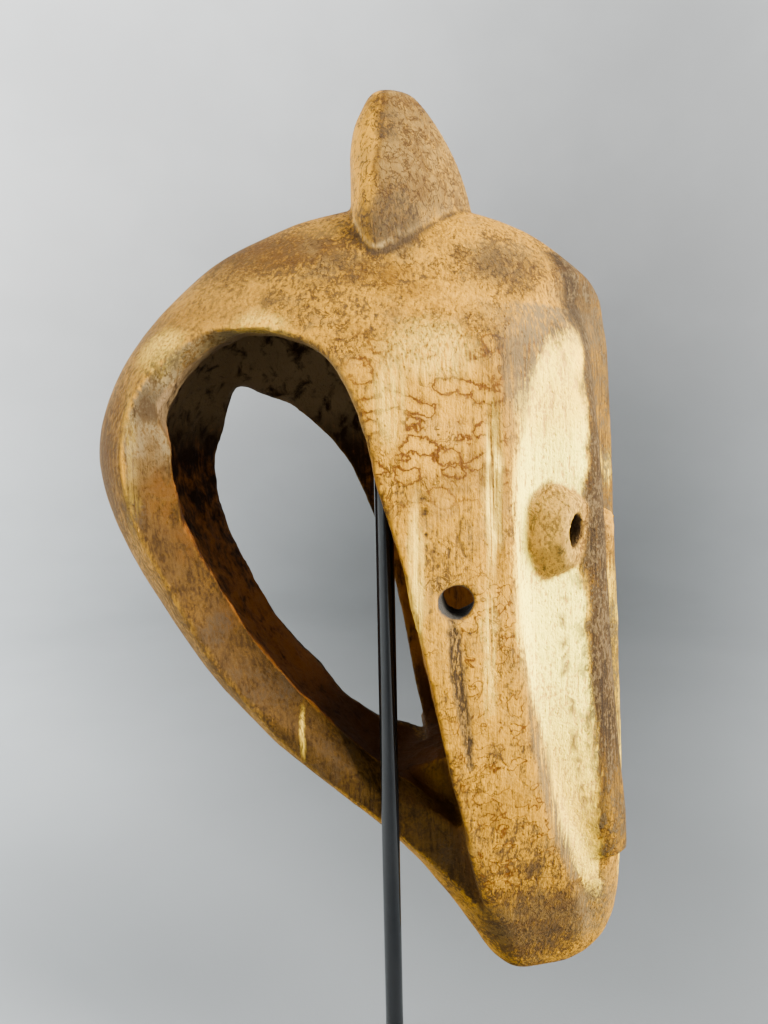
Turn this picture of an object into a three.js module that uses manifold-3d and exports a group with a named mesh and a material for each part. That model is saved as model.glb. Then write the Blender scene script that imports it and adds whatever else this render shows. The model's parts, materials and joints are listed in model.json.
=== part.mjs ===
// A two-faced wooden mask, carved in one piece, on its display rod and foot.
// Millimetres, +Z up. The faces look towards +X, one to each side of the plane y = 0,
// and a broad loop closes the back. The origin is the centre of the foot's underside.

import * as THREE from "three";
import { mergeVertices } from "three/addons/utils/BufferGeometryUtils.js";
import Module from "manifold-3d";

const wasm = await Module();
wasm.setup();

// Overall build of the head
const HALF_WIDTH = 54;          // widest half breadth, across the cheeks
const CHEEK_FLARE = Math.tan(THREE.MathUtils.degToRad(12));   // cheeks widen towards the back
const FLARE_START = 8;          // x where the cheek has its full half breadth
const FACE_SLOPE = 0.96;        // breadth gained per mm back from the ridge between the faces
const BACK_ROUNDING = 40;       // radius that rounds the loop's back over to its sides
const CROWN_ROUNDING = 160;     // the same over the crown, which falls steeply from its ridge
const CROWN_START = 300;        // height where the crown's rounding begins to take over
const CROWN_END = 385;
const CROWN_FROM = -110;        // x where the loop's back turns into the crown
const CROWN_TO = -40;
const CHIN_BOTTOM = 88;
const CROWN_TOP = 394;

// Wall thicknesses
const CHEEK_WALL = 15;
const FACE_WALL = 21;
const CROWN_WALL = 19;
const LOOP_RIM_EXTRA = 15;      // the loop is this much thicker at its rims than in its middle
const LOOP_RIM_AT = 36;
const LOOP_SIDE_WALL = 11;

// Relief of each face
const FACE_TOP = 353;
const FACE_BOTTOM = 126;
const FACE_MIDDLE = 235;
const RECESS = 3.4;             // depth of the hollowed cheeks under the rim
const RECESS_LOW = 1.2;         // further depth beside the chin
const LOW_FROM = 170;           // heights between which that further depth fades
const LOW_TO = 230;
const OVAL_POWER = 2.6;         // fullness of the oval the cheeks are hollowed within
const OVAL_SHARE = 0.97;        // its half breadth as a share of the face's
const RECESS_STEEP = 0.32;      // shares over which the recess falls from its edge, first
const RECESS_SOFT = 0.8;        // steeply and then softly
const RECESS_STEEP_PART = 0.6;
const NOSE_TIP = 147;
const NOSE_FOOT = 0.84;         // where the nose's flank meets the cheek, as a share too
const NOSE_TIP_FOOT = 0.5;      // the same for the further height near its tip
const NOSE_SOFT_PART = 0.75;    // how much of the flank is a rounded hill, the rest straight

// Eyes: blunt tubes, two to a face, placed by the share of the way from the rim to the ridge
const EYES = [
  { share: 0.305, length: 11.6, turn: 40, breadth: 11.6, height: 19, z: 275.6 },
  { share: 0.69, length: 9.5, turn: 14, breadth: 9, height: 11.5, z: 272 },
];
const EYE_ROOT = 10;            // depth of the tube's root below the face's plane
const EYE_RINGS = [             // how the tube narrows, from its root to its blunt end
  { from: 0, breadth: 1.06, height: 1 },
  { from: 0.6, breadth: 0.92, height: 0.87 },
  { from: 0.93, breadth: 0.82, height: 0.68 },
  { from: 1, breadth: 0.72, height: 0.56 },
];
const EYE_SHOULDER = 5;         // depth from which the tube narrows
const EYE_SIDES = 14;
const PUPIL = { breadth: 4.2, height: 5.6, depth: 9, taper: 0.8, past: 1.5 };

// Holes drilled through the cheeks
const CHEEK_HOLE = { x: 23, z: 254, radius: 5.4, reach: 40, sides: 20 };

// Stand
const ROD = { x: 0, y: -34, radius: 3.25, top: 330, sides: 24, domeSteps: 5 };
const FOOT = {
  length: 130, breadth: 110, thickness: 10, corner: 6, chamfer: 1.2, x: 6, cornerSteps: 5,
};
const SOCKET_DEPTH = 7;
const GAP = 0.3;                // clearance between pieces that touch

// Outline of the head seen from the side, as [x, z], from the chin up the front and round
const OUTLINE = [
  [52, 87.5], [66, 88.5], [78, 92], [87, 100], [92.5, 112], [95, 128], [95.5, 155],
  [94.5, 190], [92.2, 240], [90, 285], [88, 325], [86.6, 345], [82, 360], [69, 373], [53, 383.5],
  [35, 390], [10, 394], [-10, 392], [-28, 388], [-46, 381], [-64, 371], [-82, 354], [-94, 338],
  [-102, 320], [-105, 303], [-103, 288], [-97.5, 272], [-89.5, 256], [-80.5, 240],
  [-70.5, 224], [-58, 208], [-44, 192], [-26, 175.5], [-7.5, 159], [9, 141.5], [23, 122.5],
  [33, 107], [41, 95],
];

// Side openings between the loop and the cheek: the near one is a little larger
const NEAR_OPENING = [
  [-61, 338.6], [-44, 345], [-25, 340], [-14, 330], [-6, 311], [-2, 292], [5, 269], [9, 250],
  [15, 220], [22, 186], [27, 165], [20, 168], [6, 180], [-8, 193], [-21, 207], [-32, 219],
  [-44, 231], [-55, 249], [-66, 270], [-71, 284], [-71.5, 302], [-75, 318],
  [-69.4, 329.4],
];
const FAR_OPENING = [
  [-61, 330], [-49, 326], [-36, 320], [-17, 300], [-5, 274], [6, 236], [12, 200], [16, 180],
  [5, 185], [-4, 190], [-18, 200], [-26, 210.5], [-45, 231], [-60, 256], [-70.5, 281],
  [-71.5, 300], [-67.5, 315],
];

// Smooth curve through [z, value] knots that never overshoots between two of them
function through(knots) {
  const z = knots.map((knot) => knot[0]);
  const value = knots.map((knot) => knot[1]);
  const slope = z.slice(1).map((next, i) => (value[i + 1] - value[i]) / (next - z[i]));
  const tangent = value.map((_, i) => {
    if (i === 0) return slope[0];
    if (i === value.length - 1) return slope[i - 1];
    if (slope[i - 1] * slope[i] <= 0) return 0;
    return (2 * slope[i - 1] * slope[i]) / (slope[i - 1] + slope[i]);
  });
  return (height) => {
    const at = THREE.MathUtils.clamp(height, z[0], z[z.length - 1]);
    let i = 0;
    while (i < z.length - 2 && at > z[i + 1]) i += 1;
    const span = z[i + 1] - z[i];
    const t = (at - z[i]) / span;
    return (2 * t ** 3 - 3 * t ** 2 + 1) * value[i]
      + (t ** 3 - 2 * t ** 2 + t) * span * tangent[i]
      + (3 * t ** 2 - 2 * t ** 3) * value[i + 1]
      + (t ** 3 - t ** 2) * span * tangent[i + 1];
  };
}

// Profiles by height
const halfWidthAt = through([
  [86, 12], [95, 21], [110, 28.5], [125, 34], [139, 38.5], [150, 42], [165, 46], [184, 49.5],
  [205, 52], [240, HALF_WIDTH], [400, HALF_WIDTH],
]);
const nearCheekEdgeAt = through([
  [80, 47], [100, 44], [120, 38], [137, 33], [167, 26], [214, 16], [250, 9], [269, 5],
  [292, -2], [311, -6], [330, -14], [345, -30],
]);
const farCheekEdgeAt = through([
  [80, 47], [100, 44], [120, 38], [137, 31], [167, 20], [183, 14], [200, 11.5], [236, 5.5],
  [274, -5], [300, -17], [345, -40],
]);
const loopHalfWidthAt = through([
  [80, 22], [100, 24], [130, 26], [150, 28], [175, 29.5], [200, 34], [212, 38], [235, 49],
  [255, 60], [270, 70],
]);
const rimStartAt = through([
  [170, 20], [190, 20], [215, 22], [250, 27], [290, 33], [316, 36], [330, 32.5], [341, 29],
  [350, 28],
]);
const rimFlareAt = through([
  [170, 0.75], [262, 0.75], [300, 1.15], [316, 1.15], [330, 0.9], [341, 0.5], [350, 0.5],
]);
const noseHeightAt = through([
  [92, 0], [120, 4], [148, 7.8], [170, 10.4], [200, 12], [235, 12.6], [250, 13.2], [275, 13.2],
  [300, 12.3], [330, 9], [345, 4.5], [356, 0],
]);
const noseTipHeightAt = through([[NOSE_TIP, 4.2], [160, 3.5], [185, 1.2], [205, 0]]);
const noseCrestAt = through([
  [148, 0.16], [170, 0.15], [205, 0.13], [235, 0.08], [265, 0.04], [350, 0.04],
]);

// Horn profiles: an egg in plan, blunt behind and drawn out to the front
const HORN = {
  bottom: 352,
  top: 434,
  front: through([[352, 42], [391, 35], [399, 33], [412, 28], [426, 19.5], [432, 14], [434, 10]]),
  rear: through([[352, -8], [394, -10], [409, -10], [420, -8.5], [428, -5], [432, -2.5], [434, 0]]),
  corner: through([[352, 2], [371, 0], [383, -2], [406, 1], [423, 3], [434, 4]]),
  halfWidth: through([[352, 28], [372, 28.5], [383, 27.5], [395, 24.5], [410, 18],
    [425, 11], [431, 7.5], [434, 4.5]]),
  frontPower: 1.5,
  rearPower: 2.2,
  sides: 20,
  levels: 11,
};

const smooth = (from, to, value) => THREE.MathUtils.smoothstep(value, from, to);
const lerp = THREE.MathUtils.lerp;

function closedCurve(points) {
  const corners = points.map(([x, z]) => new THREE.Vector3(x, 0, z));
  return new THREE.CatmullRomCurve3(corners, true, "catmullrom", 0.5);
}

const outlinePoints = closedCurve(OUTLINE).getPoints(OUTLINE.length * 3);

// How far a point of the side view lies inside the head's outline
function depthInside(x, z) {
  const point = new THREE.Vector3(x, 0, z);
  const edge = new THREE.Line3();
  const nearest = new THREE.Vector3();
  let best = Infinity;
  for (let i = 0; i + 1 < outlinePoints.length; i += 1) {
    edge.set(outlinePoints[i], outlinePoints[i + 1]);
    edge.closestPointToPoint(point, true, nearest);
    best = Math.min(best, nearest.distanceTo(point));
  }
  return best;
}

// Rearmost and foremost x of the outline at one height
function outlineSpan(z) {
  let rear = Infinity;
  let front = -Infinity;
  for (let i = 0; i + 1 < outlinePoints.length; i += 1) {
    const a = outlinePoints[i];
    const b = outlinePoints[i + 1];
    if ((a.z - z) * (b.z - z) > 0 || a.z === b.z) continue;
    const x = lerp(a.x, b.x, (z - a.z) / (b.z - a.z));
    rear = Math.min(rear, x);
    front = Math.max(front, x);
  }
  return { rear, front };
}

// Half breadth of the rounded head behind the faces, inset by a wall
function bodyHalfWidth(x, z, wall = 0) {
  const crown = smooth(CROWN_START, CROWN_END, z) * smooth(CROWN_FROM, CROWN_TO, x);
  const radius = lerp(BACK_ROUNDING, CROWN_ROUNDING, crown) - wall;
  const inset = Math.max(0, depthInside(x, z) - wall);
  const rise = 1 - Math.min(1, inset / radius);
  const round = (halfWidthAt(z) - wall) * Math.sqrt(Math.max(0, 1 - rise * rise));
  const cheek = halfWidthAt(z) - (x - FLARE_START) * CHEEK_FLARE - wall;
  return Math.min(round, cheek);
}

// Solids are joined and cut as closed meshes
function solidOf(geometry) {
  const bare = geometry.index ? geometry.toNonIndexed() : geometry.clone();
  bare.deleteAttribute("normal");
  bare.deleteAttribute("uv");
  const merged = mergeVertices(bare, 1e-4);
  return new wasm.Manifold(new wasm.Mesh({
    numProp: 3,
    vertProperties: new Float32Array(merged.attributes.position.array),
    triVerts: new Uint32Array(merged.index.array),
  }));
}

function geometryOf(solid) {
  const mesh = solid.getMesh();
  const geometry = new THREE.BufferGeometry();
  geometry.setAttribute("position", new THREE.BufferAttribute(mesh.vertProperties, 3));
  geometry.setIndex(new THREE.BufferAttribute(mesh.triVerts, 1));
  geometry.computeVertexNormals();
  return geometry;
}

// Closed skin over rings of equal length, each a list of [x, y, z], with flat caps
function skinOver(rings) {
  const count = rings[0].length;
  const positions = rings.flat(2);
  const index = [];
  for (let r = 0; r + 1 < rings.length; r += 1) {
    for (let i = 0; i < count; i += 1) {
      const a = r * count + i;
      const b = r * count + ((i + 1) % count);
      index.push(a, b, b + count, a, b + count, a + count);
    }
  }
  const cap = (ring, up) => {
    const middle = positions.length / 3;
    const sum = rings[ring].reduce((total, p) => total.map((v, k) => v + p[k]), [0, 0, 0]);
    positions.push(...sum.map((v) => v / count));
    for (let i = 0; i < count; i += 1) {
      const a = ring * count + i;
      const b = ring * count + ((i + 1) % count);
      if (up) index.push(a, b, middle);
      else index.push(b, a, middle);
    }
  };
  cap(0, false);
  cap(rings.length - 1, true);
  const geometry = new THREE.BufferGeometry();
  geometry.setAttribute("position", new THREE.Float32BufferAttribute(positions, 3));
  geometry.setIndex(index);
  return geometry;
}

// Heights from low to high, closer together towards both ends
function levels(low, high, count) {
  return Array.from({ length: count + 1 }, (_, i) => {
    const t = i / count;
    return lerp(low, high, lerp(t, (1 - Math.cos(Math.PI * t)) / 2, 0.55));
  });
}

// Shares of the way across a face, from its outer rim (-1) to the middle ridge (+1)
const FACE_STATIONS = [-1, -0.94, -0.82, -0.66, -0.5, -0.34, -0.18, -0.05,
  0.05, 0.18, 0.34, 0.5, 0.66, 0.82, 0.94, 1];
const BODY_STATIONS = 15;

// Height of a face's surface over the flat between its rim and the ridge
function faceRelief(share, z) {
  const reach = z > FACE_MIDDLE ? FACE_TOP - FACE_MIDDLE : FACE_MIDDLE - FACE_BOTTOM;
  const level = Math.abs((z - FACE_MIDDLE) / reach) ** OVAL_POWER;
  const oval = OVAL_SHARE * Math.sqrt(Math.max(0, 1 - level));
  const deepest = RECESS + RECESS_LOW * (1 - smooth(LOW_FROM, LOW_TO, z));
  const inner = oval - Math.abs(share);
  const recess = deepest * lerp(
    smooth(0, RECESS_SOFT, inner),
    smooth(0, RECESS_STEEP, inner),
    RECESS_STEEP_PART,
  );
  const past = Math.abs(share) - noseCrestAt(z);
  const rise = THREE.MathUtils.clamp(past / (NOSE_FOOT - noseCrestAt(z)), 0, 1);
  const nose = 1 - lerp(rise, smooth(0, 1, rise), NOSE_SOFT_PART);
  const tip = 1 - smooth(0, 1, past / (NOSE_TIP_FOOT - noseCrestAt(z)));
  const tipHeight = z < NOSE_TIP ? 0 : noseTipHeightAt(z);
  return noseHeightAt(z) * nose + tipHeight * tip - recess * (1 - nose);
}

const BISECTIONS = 30;

// One half of a level section of the head, from the back round to the ridge, as [x, breadth]
function headHalfSection(z) {
  const { rear, front } = outlineSpan(z);
  const facePlane = (x) => (front - x) * FACE_SLOPE;
  let inner = rear;
  let outer = front;
  for (let step = 0; step < BISECTIONS; step += 1) {
    const x = (inner + outer) / 2;
    if (facePlane(x) > bodyHalfWidth(x, z)) inner = x;
    else outer = x;
  }
  const half = [];
  for (let i = 0; i < BODY_STATIONS; i += 1) {
    const x = lerp(rear, inner, 1 - Math.cos((Math.PI / 2) * (i / BODY_STATIONS)));
    half.push([x, bodyHalfWidth(x, z)]);
  }
  const rim = new THREE.Vector2(inner, facePlane(inner));
  const ridge = new THREE.Vector2(front, 0);
  const normal = new THREE.Vector2(FACE_SLOPE, 1).normalize();
  for (const share of FACE_STATIONS) {
    const point = rim.clone().lerp(ridge, (share + 1) / 2);
    point.addScaledVector(normal, faceRelief(share, z));
    half.push([point.x, Math.max(0, point.y)]);
  }
  return half;
}

// A half section and its mirror image as one closed ring
function mirroredRing(half, z) {
  const near = half.map(([x, breadth]) => [x, -breadth, z]);
  const far = half.slice(1, -1).reverse().map(([x, breadth]) => [x, breadth, z]);
  return [...near, ...far];
}

const CHIN_LEVELS = 9;
const FACE_LEVELS = 34;
const END_INSET = 0.5;          // the first and last levels lie this far inside the outline

function headSolid() {
  const low = levels(CHIN_BOTTOM + END_INSET, NOSE_TIP - END_INSET, CHIN_LEVELS);
  const high = levels(NOSE_TIP, CROWN_TOP - END_INSET, FACE_LEVELS);
  return solidOf(skinOver([...low, ...high].map((z) => mirroredRing(headHalfSection(z), z))));
}

// The hollow behind the faces, open to both sides
const HOLLOW_BOTTOM = 174;
const HOLLOW_TOP = CROWN_TOP - CROWN_WALL - 1;
const HOLLOW_STATIONS = 13;
const HOLLOW_LEVELS = 16;

function hollowHalfSection(z) {
  const { rear, front } = outlineSpan(z);
  let outside = rear;
  let inside = (rear + front) / 2;
  for (let step = 0; step < BISECTIONS; step += 1) {
    const x = (outside + inside) / 2;
    if (depthInside(x, z) > CROWN_WALL) inside = x;
    else outside = x;
  }
  const foremost = front - FACE_WALL * Math.hypot(1, 1 / FACE_SLOPE);
  const half = [];
  for (let i = 0; i <= HOLLOW_STATIONS; i += 1) {
    const x = lerp(inside, foremost, (1 - Math.cos(Math.PI * (i / HOLLOW_STATIONS))) / 2);
    const depth = Math.max(0, depthInside(x, z) - CROWN_WALL);
    const behindFace = (foremost - x) * FACE_SLOPE;
    const clearOfLoop = Math.min(
      LOOP_RIM_AT * Math.sqrt(depth / LOOP_RIM_EXTRA),
      loopHalfWidthAt(z) - LOOP_SIDE_WALL,
    );
    half.push([x, Math.min(bodyHalfWidth(x, z, CHEEK_WALL), behindFace, clearOfLoop)]);
  }
  return half;
}

function hollowSolid() {
  const rings = levels(HOLLOW_BOTTOM, HOLLOW_TOP, HOLLOW_LEVELS)
    .map((z) => mirroredRing(hollowHalfSection(z), z));
  return solidOf(skinOver(rings));
}

// A side opening: straight through the wall, then flared back across the loop's rim. The
// flare grows over FLARE_BLEND behind a line that leans back from its foot, and is less on
// the far side.
const OPENING_INNER = 10;
const OPENING_OUTER = 64;
const FLARE_LINE = { x: 20, lean: 0.4 };
const FLARE_BLEND = 22;
const FAR_FLARE = 0.6;

function openingSolid(outline, side) {
  const curve = closedCurve(outline);
  const count = outline.length * 2;
  const points = curve.getSpacedPoints(count).slice(0, count);
  const lineAt = (z) => FLARE_LINE.x - FLARE_LINE.lean * (z - HOLLOW_BOTTOM);
  const loopSide = ({ x, z }) => smooth(0, FLARE_BLEND, lineAt(z) - x);
  const away = (i) => {
    const along = points[(i + 1) % count].clone().sub(points[(i + count - 1) % count]);
    return new THREE.Vector3(-along.z, 0, along.x).normalize();
  };
  const ring = (breadthAt, flareAt) => points.map((point, i) => {
    const moved = point.clone().addScaledVector(away(i), flareAt(point) * loopSide(point));
    return [moved.x, side * breadthAt(point), moved.z];
  });
  const flareShare = side < 0 ? 1 : FAR_FLARE;
  const flare = ({ z }) => flareShare * rimFlareAt(z) * (OPENING_OUTER - rimStartAt(z));
  const rings = [
    ring(() => OPENING_INNER, () => 0),
    ring(({ z }) => rimStartAt(z), () => 0),
    ring(() => OPENING_OUTER, flare),
  ];
  return solidOf(skinOver(side < 0 ? rings.map((r) => r.reverse()) : rings));
}

// What is cut away behind the cheek's back edge, where the loop narrows towards the chin
const RELIEF = { bottom: 70, top: 268, levels: 18, behind: -130, outside: 90 };

function loopReliefSolid(side) {
  const { behind, outside } = RELIEF;
  const cheekEdgeAt = side < 0 ? nearCheekEdgeAt : farCheekEdgeAt;
  const rings = levels(RELIEF.bottom, RELIEF.top, RELIEF.levels).map((z) => {
    const edge = cheekEdgeAt(z);
    const breadth = loopHalfWidthAt(z);
    const far = [[behind, breadth], [edge, breadth], [edge, outside], [behind, outside]];
    const near = far.map(([x, y]) => [x, -y]).reverse();
    return (side < 0 ? near : far).map(([x, y]) => [x, y, z]);
  });
  return solidOf(skinOver(rings));
}

function hornSolid() {
  const rings = levels(HORN.bottom, HORN.top, HORN.levels).map((z) => {
    const corner = HORN.corner(z);
    return Array.from({ length: HORN.sides }, (_, i) => {
      const angle = (2 * Math.PI * i) / HORN.sides;
      const ahead = Math.cos(angle) > 0;
      const power = 2 / (ahead ? HORN.frontPower : HORN.rearPower);
      const reach = (ahead ? HORN.front(z) : HORN.rear(z)) - corner;
      const x = corner + reach * Math.abs(Math.cos(angle)) ** power;
      const breadth = HORN.halfWidth(z) * Math.abs(Math.sin(angle)) ** power;
      return [x, Math.sign(Math.sin(angle)) * breadth, z];
    });
  });
  return solidOf(skinOver(rings));
}

// A blunt tube standing out of a face, as rings across its axis
function tubeSolid(root, turn, side, stations) {
  const axis = new THREE.Vector3(Math.cos(turn), side * Math.sin(turn), 0);
  const across = new THREE.Vector3(-Math.sin(turn), side * Math.cos(turn), 0);
  const rings = stations.map(({ along, height, breadth }) => (
    Array.from({ length: EYE_SIDES }, (_, i) => {
      const angle = (2 * Math.PI * i) / EYE_SIDES;
      return root.clone()
        .addScaledVector(axis, along)
        .addScaledVector(across, breadth * Math.cos(angle))
        .add(new THREE.Vector3(0, 0, height * Math.sin(angle)))
        .toArray();
    })
  ));
  return solidOf(skinOver(side > 0 ? rings : rings.map((ring) => ring.reverse())));
}

function eyeSolids(side) {
  return EYES.map((eye) => {
    const { front } = outlineSpan(eye.z);
    const [rimX, rimY] = headHalfSection(eye.z)[BODY_STATIONS];
    const turn = THREE.MathUtils.degToRad(eye.turn);
    const breadth = side * lerp(rimY, 0, eye.share);
    const root = new THREE.Vector3(lerp(rimX, front, eye.share), breadth, eye.z);
    const narrowing = EYE_RINGS.map((ring) => ({
      along: lerp(-EYE_SHOULDER, eye.length, ring.from),
      breadth: eye.breadth * ring.breadth,
      height: eye.height * ring.height,
    }));
    const rooted = { ...narrowing[0], along: -EYE_ROOT };
    const tube = tubeSolid(root, turn, side, [rooted, ...narrowing]);
    const { taper } = PUPIL;
    const pupil = tubeSolid(root, turn, side, [
      {
        along: eye.length - PUPIL.depth,
        breadth: PUPIL.breadth * taper,
        height: PUPIL.height * taper,
      },
      { along: eye.length + PUPIL.past, breadth: PUPIL.breadth, height: PUPIL.height },
    ]);
    return { tube, pupil };
  });
}

// A round hole square to the cheek's outer face
function cheekHoleSolid(side) {
  const { radius, reach, sides } = CHEEK_HOLE;
  const geometry = new THREE.CylinderGeometry(radius, radius, reach, sides);
  geometry.rotateZ(-side * Math.atan(CHEEK_FLARE));
  geometry.translate(CHEEK_HOLE.x, side * HALF_WIDTH, CHEEK_HOLE.z);
  return solidOf(geometry);
}

function maskGeometry() {
  let mask = headSolid()
    .subtract(hollowSolid())
    .subtract(openingSolid(NEAR_OPENING, -1))
    .subtract(openingSolid(FAR_OPENING, 1));
  for (const side of [-1, 1]) {
    mask = mask.subtract(loopReliefSolid(side)).subtract(cheekHoleSolid(side));
    for (const { tube, pupil } of eyeSolids(side)) mask = mask.add(tube).subtract(pupil);
  }
  return geometryOf(mask.add(hornSolid()));
}

// Round rod with a domed top, standing in a socket in the foot
function rodGeometry() {
  const bottom = FOOT.thickness - SOCKET_DEPTH + GAP;
  const profile = [new THREE.Vector2(0, bottom), new THREE.Vector2(ROD.radius, bottom)];
  for (let i = 0; i <= ROD.domeSteps; i += 1) {
    const angle = (Math.PI / 2) * (i / ROD.domeSteps);
    const radius = i === ROD.domeSteps ? 0 : ROD.radius * Math.cos(angle);
    profile.push(new THREE.Vector2(radius, ROD.top - ROD.radius * (1 - Math.sin(angle))));
  }
  const geometry = new THREE.LatheGeometry(profile, ROD.sides);
  geometry.rotateX(Math.PI / 2);
  geometry.translate(ROD.x, ROD.y, 0);
  return geometryOf(solidOf(geometry));
}

function footGeometry() {
  const { length, breadth, thickness, corner, chamfer } = FOOT;
  const x = length / 2 - chamfer;
  const y = breadth / 2 - chamfer;
  const r = corner - chamfer;
  const shape = new THREE.Shape();
  shape.absarc(x - r, y - r, r, 0, Math.PI / 2);
  shape.absarc(-x + r, y - r, r, Math.PI / 2, Math.PI);
  shape.absarc(-x + r, -y + r, r, Math.PI, 1.5 * Math.PI);
  shape.absarc(x - r, -y + r, r, 1.5 * Math.PI, 2 * Math.PI);
  const plate = new THREE.ExtrudeGeometry(shape, {
    depth: thickness - 2 * chamfer,
    bevelEnabled: true,
    bevelThickness: chamfer,
    bevelSize: chamfer,
    bevelSegments: 1,
    curveSegments: FOOT.cornerSteps,
  });
  plate.translate(FOOT.x, 0, chamfer);
  const socketRadius = ROD.radius + GAP;
  const socket = new THREE.CylinderGeometry(socketRadius, socketRadius, 2 * SOCKET_DEPTH, ROD.sides);
  socket.rotateX(Math.PI / 2);
  socket.translate(ROD.x, ROD.y, thickness);
  return geometryOf(solidOf(plate).subtract(solidOf(socket)));
}

const wood = new THREE.MeshStandardMaterial({ color: 0xb98b4e, roughness: 0.62 });
const steel = new THREE.MeshStandardMaterial({ color: 0x0b0b0d, roughness: 0.22 });

function part(name, geometry, material) {
  const mesh = new THREE.Mesh(geometry, material);
  mesh.name = name;
  return mesh;
}

const object = new THREE.Group();
object.add(part("mask", maskGeometry(), wood));
object.add(part("stand_rod", rodGeometry(), steel));
object.add(part("stand_foot", footGeometry(), steel.clone()));

export default object;
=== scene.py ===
# The two-faced mask as it looks: carved wood with worn edges, on its rod and foot.
# Metres in the scene; the carving is worked out in millimetres and scaled at the end.

import json
import math

import bpy
import numpy as np
from mathutils import Matrix, Vector

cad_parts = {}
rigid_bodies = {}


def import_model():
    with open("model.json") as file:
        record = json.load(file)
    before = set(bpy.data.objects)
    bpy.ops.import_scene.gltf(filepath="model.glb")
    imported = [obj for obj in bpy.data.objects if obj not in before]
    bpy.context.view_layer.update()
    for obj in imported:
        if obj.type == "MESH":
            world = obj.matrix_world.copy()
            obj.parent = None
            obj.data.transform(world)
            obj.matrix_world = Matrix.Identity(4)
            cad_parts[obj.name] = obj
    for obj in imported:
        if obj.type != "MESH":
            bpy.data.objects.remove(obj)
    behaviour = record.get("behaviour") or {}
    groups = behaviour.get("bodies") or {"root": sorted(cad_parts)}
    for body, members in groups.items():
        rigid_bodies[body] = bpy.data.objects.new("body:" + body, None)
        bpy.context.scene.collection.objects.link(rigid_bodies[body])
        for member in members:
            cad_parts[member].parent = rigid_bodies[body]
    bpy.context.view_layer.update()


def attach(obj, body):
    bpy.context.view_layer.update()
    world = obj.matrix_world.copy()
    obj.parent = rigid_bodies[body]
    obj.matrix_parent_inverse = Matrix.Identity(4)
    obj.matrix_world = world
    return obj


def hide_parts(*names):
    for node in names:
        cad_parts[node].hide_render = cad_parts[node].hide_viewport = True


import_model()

MM = 0.001

# Sizes in mm, most of them as in the solids

CHEEK_FLARE = math.radians(12)
FLARE_START = 8.0
FACE_SLOPE = 0.96
BACK_ROUNDING = 40.0
CROWN_ROUNDING = 160.0
CHEEK_WALL = 15.0
FACE_WALL = 21.0
CROWN_WALL = 19.0
LOOP_RIM_EXTRA = 15.0
LOOP_RIM_AT = 36.0
FACE_TOP, FACE_BOTTOM, FACE_MIDDLE = 353.0, 126.0, 235.0
SHELL_SCALE = 45.0
CHEEK_HOLLOW, LOW_HOLLOW_EXTRA = 3.4, 1.2
NOSE_TIP_AT, NOSE_TIP_SLOPE = 146.5, 0.28
HOLLOW_FLOOR, HOLLOW_FLOOR_SLOPE = 176.0, 0.35
EYE_HEIGHT, EYE_DEPTH = 275.0, 8.0
PUPIL_HALF_BREADTH, PUPIL_HALF_HEIGHT, PUPIL_DEPTH = 4.2, 5.6, 9.0
HORN_SCALE, HORN_CAP, HORN_ROOT = 14.0, 433.4, 356.0
DRILL_X, DRILL_Y, DRILL_Z = 23.0, 50.0, 254.0
DRILL_RADIUS, DRILL_SLANT, DRILL_INNER = 5.6, 0.21, 20.0
ROD_X, ROD_Y, ROD_RADIUS = 0.0, -34.0, 3.25
ROD_TOP, ROD_BOTTOM = 330.0, 3.3

OUTLINE = [
    (52, 87.5), (66, 88.5), (78, 92), (87, 100), (92.5, 112), (95, 128), (95.5, 155), (94.5, 190),
    (92.2, 240), (90, 285), (88, 325), (86.6, 345), (82, 360), (69, 373), (53, 383.5), (35, 390),
    (10, 394), (-10, 392), (-28, 388), (-46, 381), (-64, 371), (-82, 354), (-94, 338),
    (-102, 320), (-105, 303), (-103, 288), (-97.5, 272), (-89.5, 256), (-80.5, 240),
    (-70.5, 224), (-58, 208), (-44, 192), (-26, 175.5), (-7.5, 159), (9, 141.5), (23, 122.5),
    (33, 107), (41, 95),
]
NEAR_OPENING = [
    (-61, 338.6), (-44, 345), (-25, 340), (-14, 330), (-6, 311), (-2, 292), (5, 269), (9, 250),
    (15, 220), (22, 186), (27, 165), (20, 168), (6, 180), (-8, 193), (-21, 207), (-32, 219),
    (-44, 231), (-55, 249), (-66, 270), (-71, 284), (-71.5, 302), (-75, 318), (-69.4, 329.4),
]
FAR_OPENING = [
    (-61, 330), (-49, 326), (-36, 320), (-17, 300), (-5, 274), (6, 236), (12, 200), (16, 180),
    (5, 185), (-4, 190), (-18, 200), (-26, 210.5), (-45, 231), (-60, 256), (-70.5, 281),
    (-71.5, 300), (-67.5, 315),
]

# Profiles by height, as (z, value)

FRONT = [(88, 60), (92, 75), (98, 84), (108, 90.5), (124, 94), (150, 95), (180, 94.7),
         (200, 94), (242, 92.2), (282, 90), (301, 89.3), (339, 87.2), (352, 85.4)]
HALF_WIDTH = [(86, 12), (95, 21), (110, 28.5), (125, 34), (139, 38.5), (150, 42), (165, 46),
              (184, 49.5), (205, 52), (240, 54), (400, 54)]
CHEEK_EDGE = [(80, 47), (100, 44), (120, 38), (137, 33), (167, 26), (214, 16), (250, 9),
              (269, 5), (292, -2), (311, -6), (330, -14), (345, -30)]
FAR_CHEEK_EDGE = [(80, 47), (100, 44), (120, 38), (137, 31), (167, 20), (183, 14),
                  (200, 11.5), (236, 5.5), (274, -5), (300, -17), (345, -40)]
OPENING_MIDDLE = [(165, 20), (186, 11), (220, -9), (250, -23), (292, -37), (330, -43),
                  (345, -45)]
LOOP_HALF_WIDTH = [(80, 22), (100, 24), (130, 26), (150, 28), (175, 29.5), (200, 34),
                   (212, 38), (235, 49), (255, 60), (270, 70)]
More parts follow.
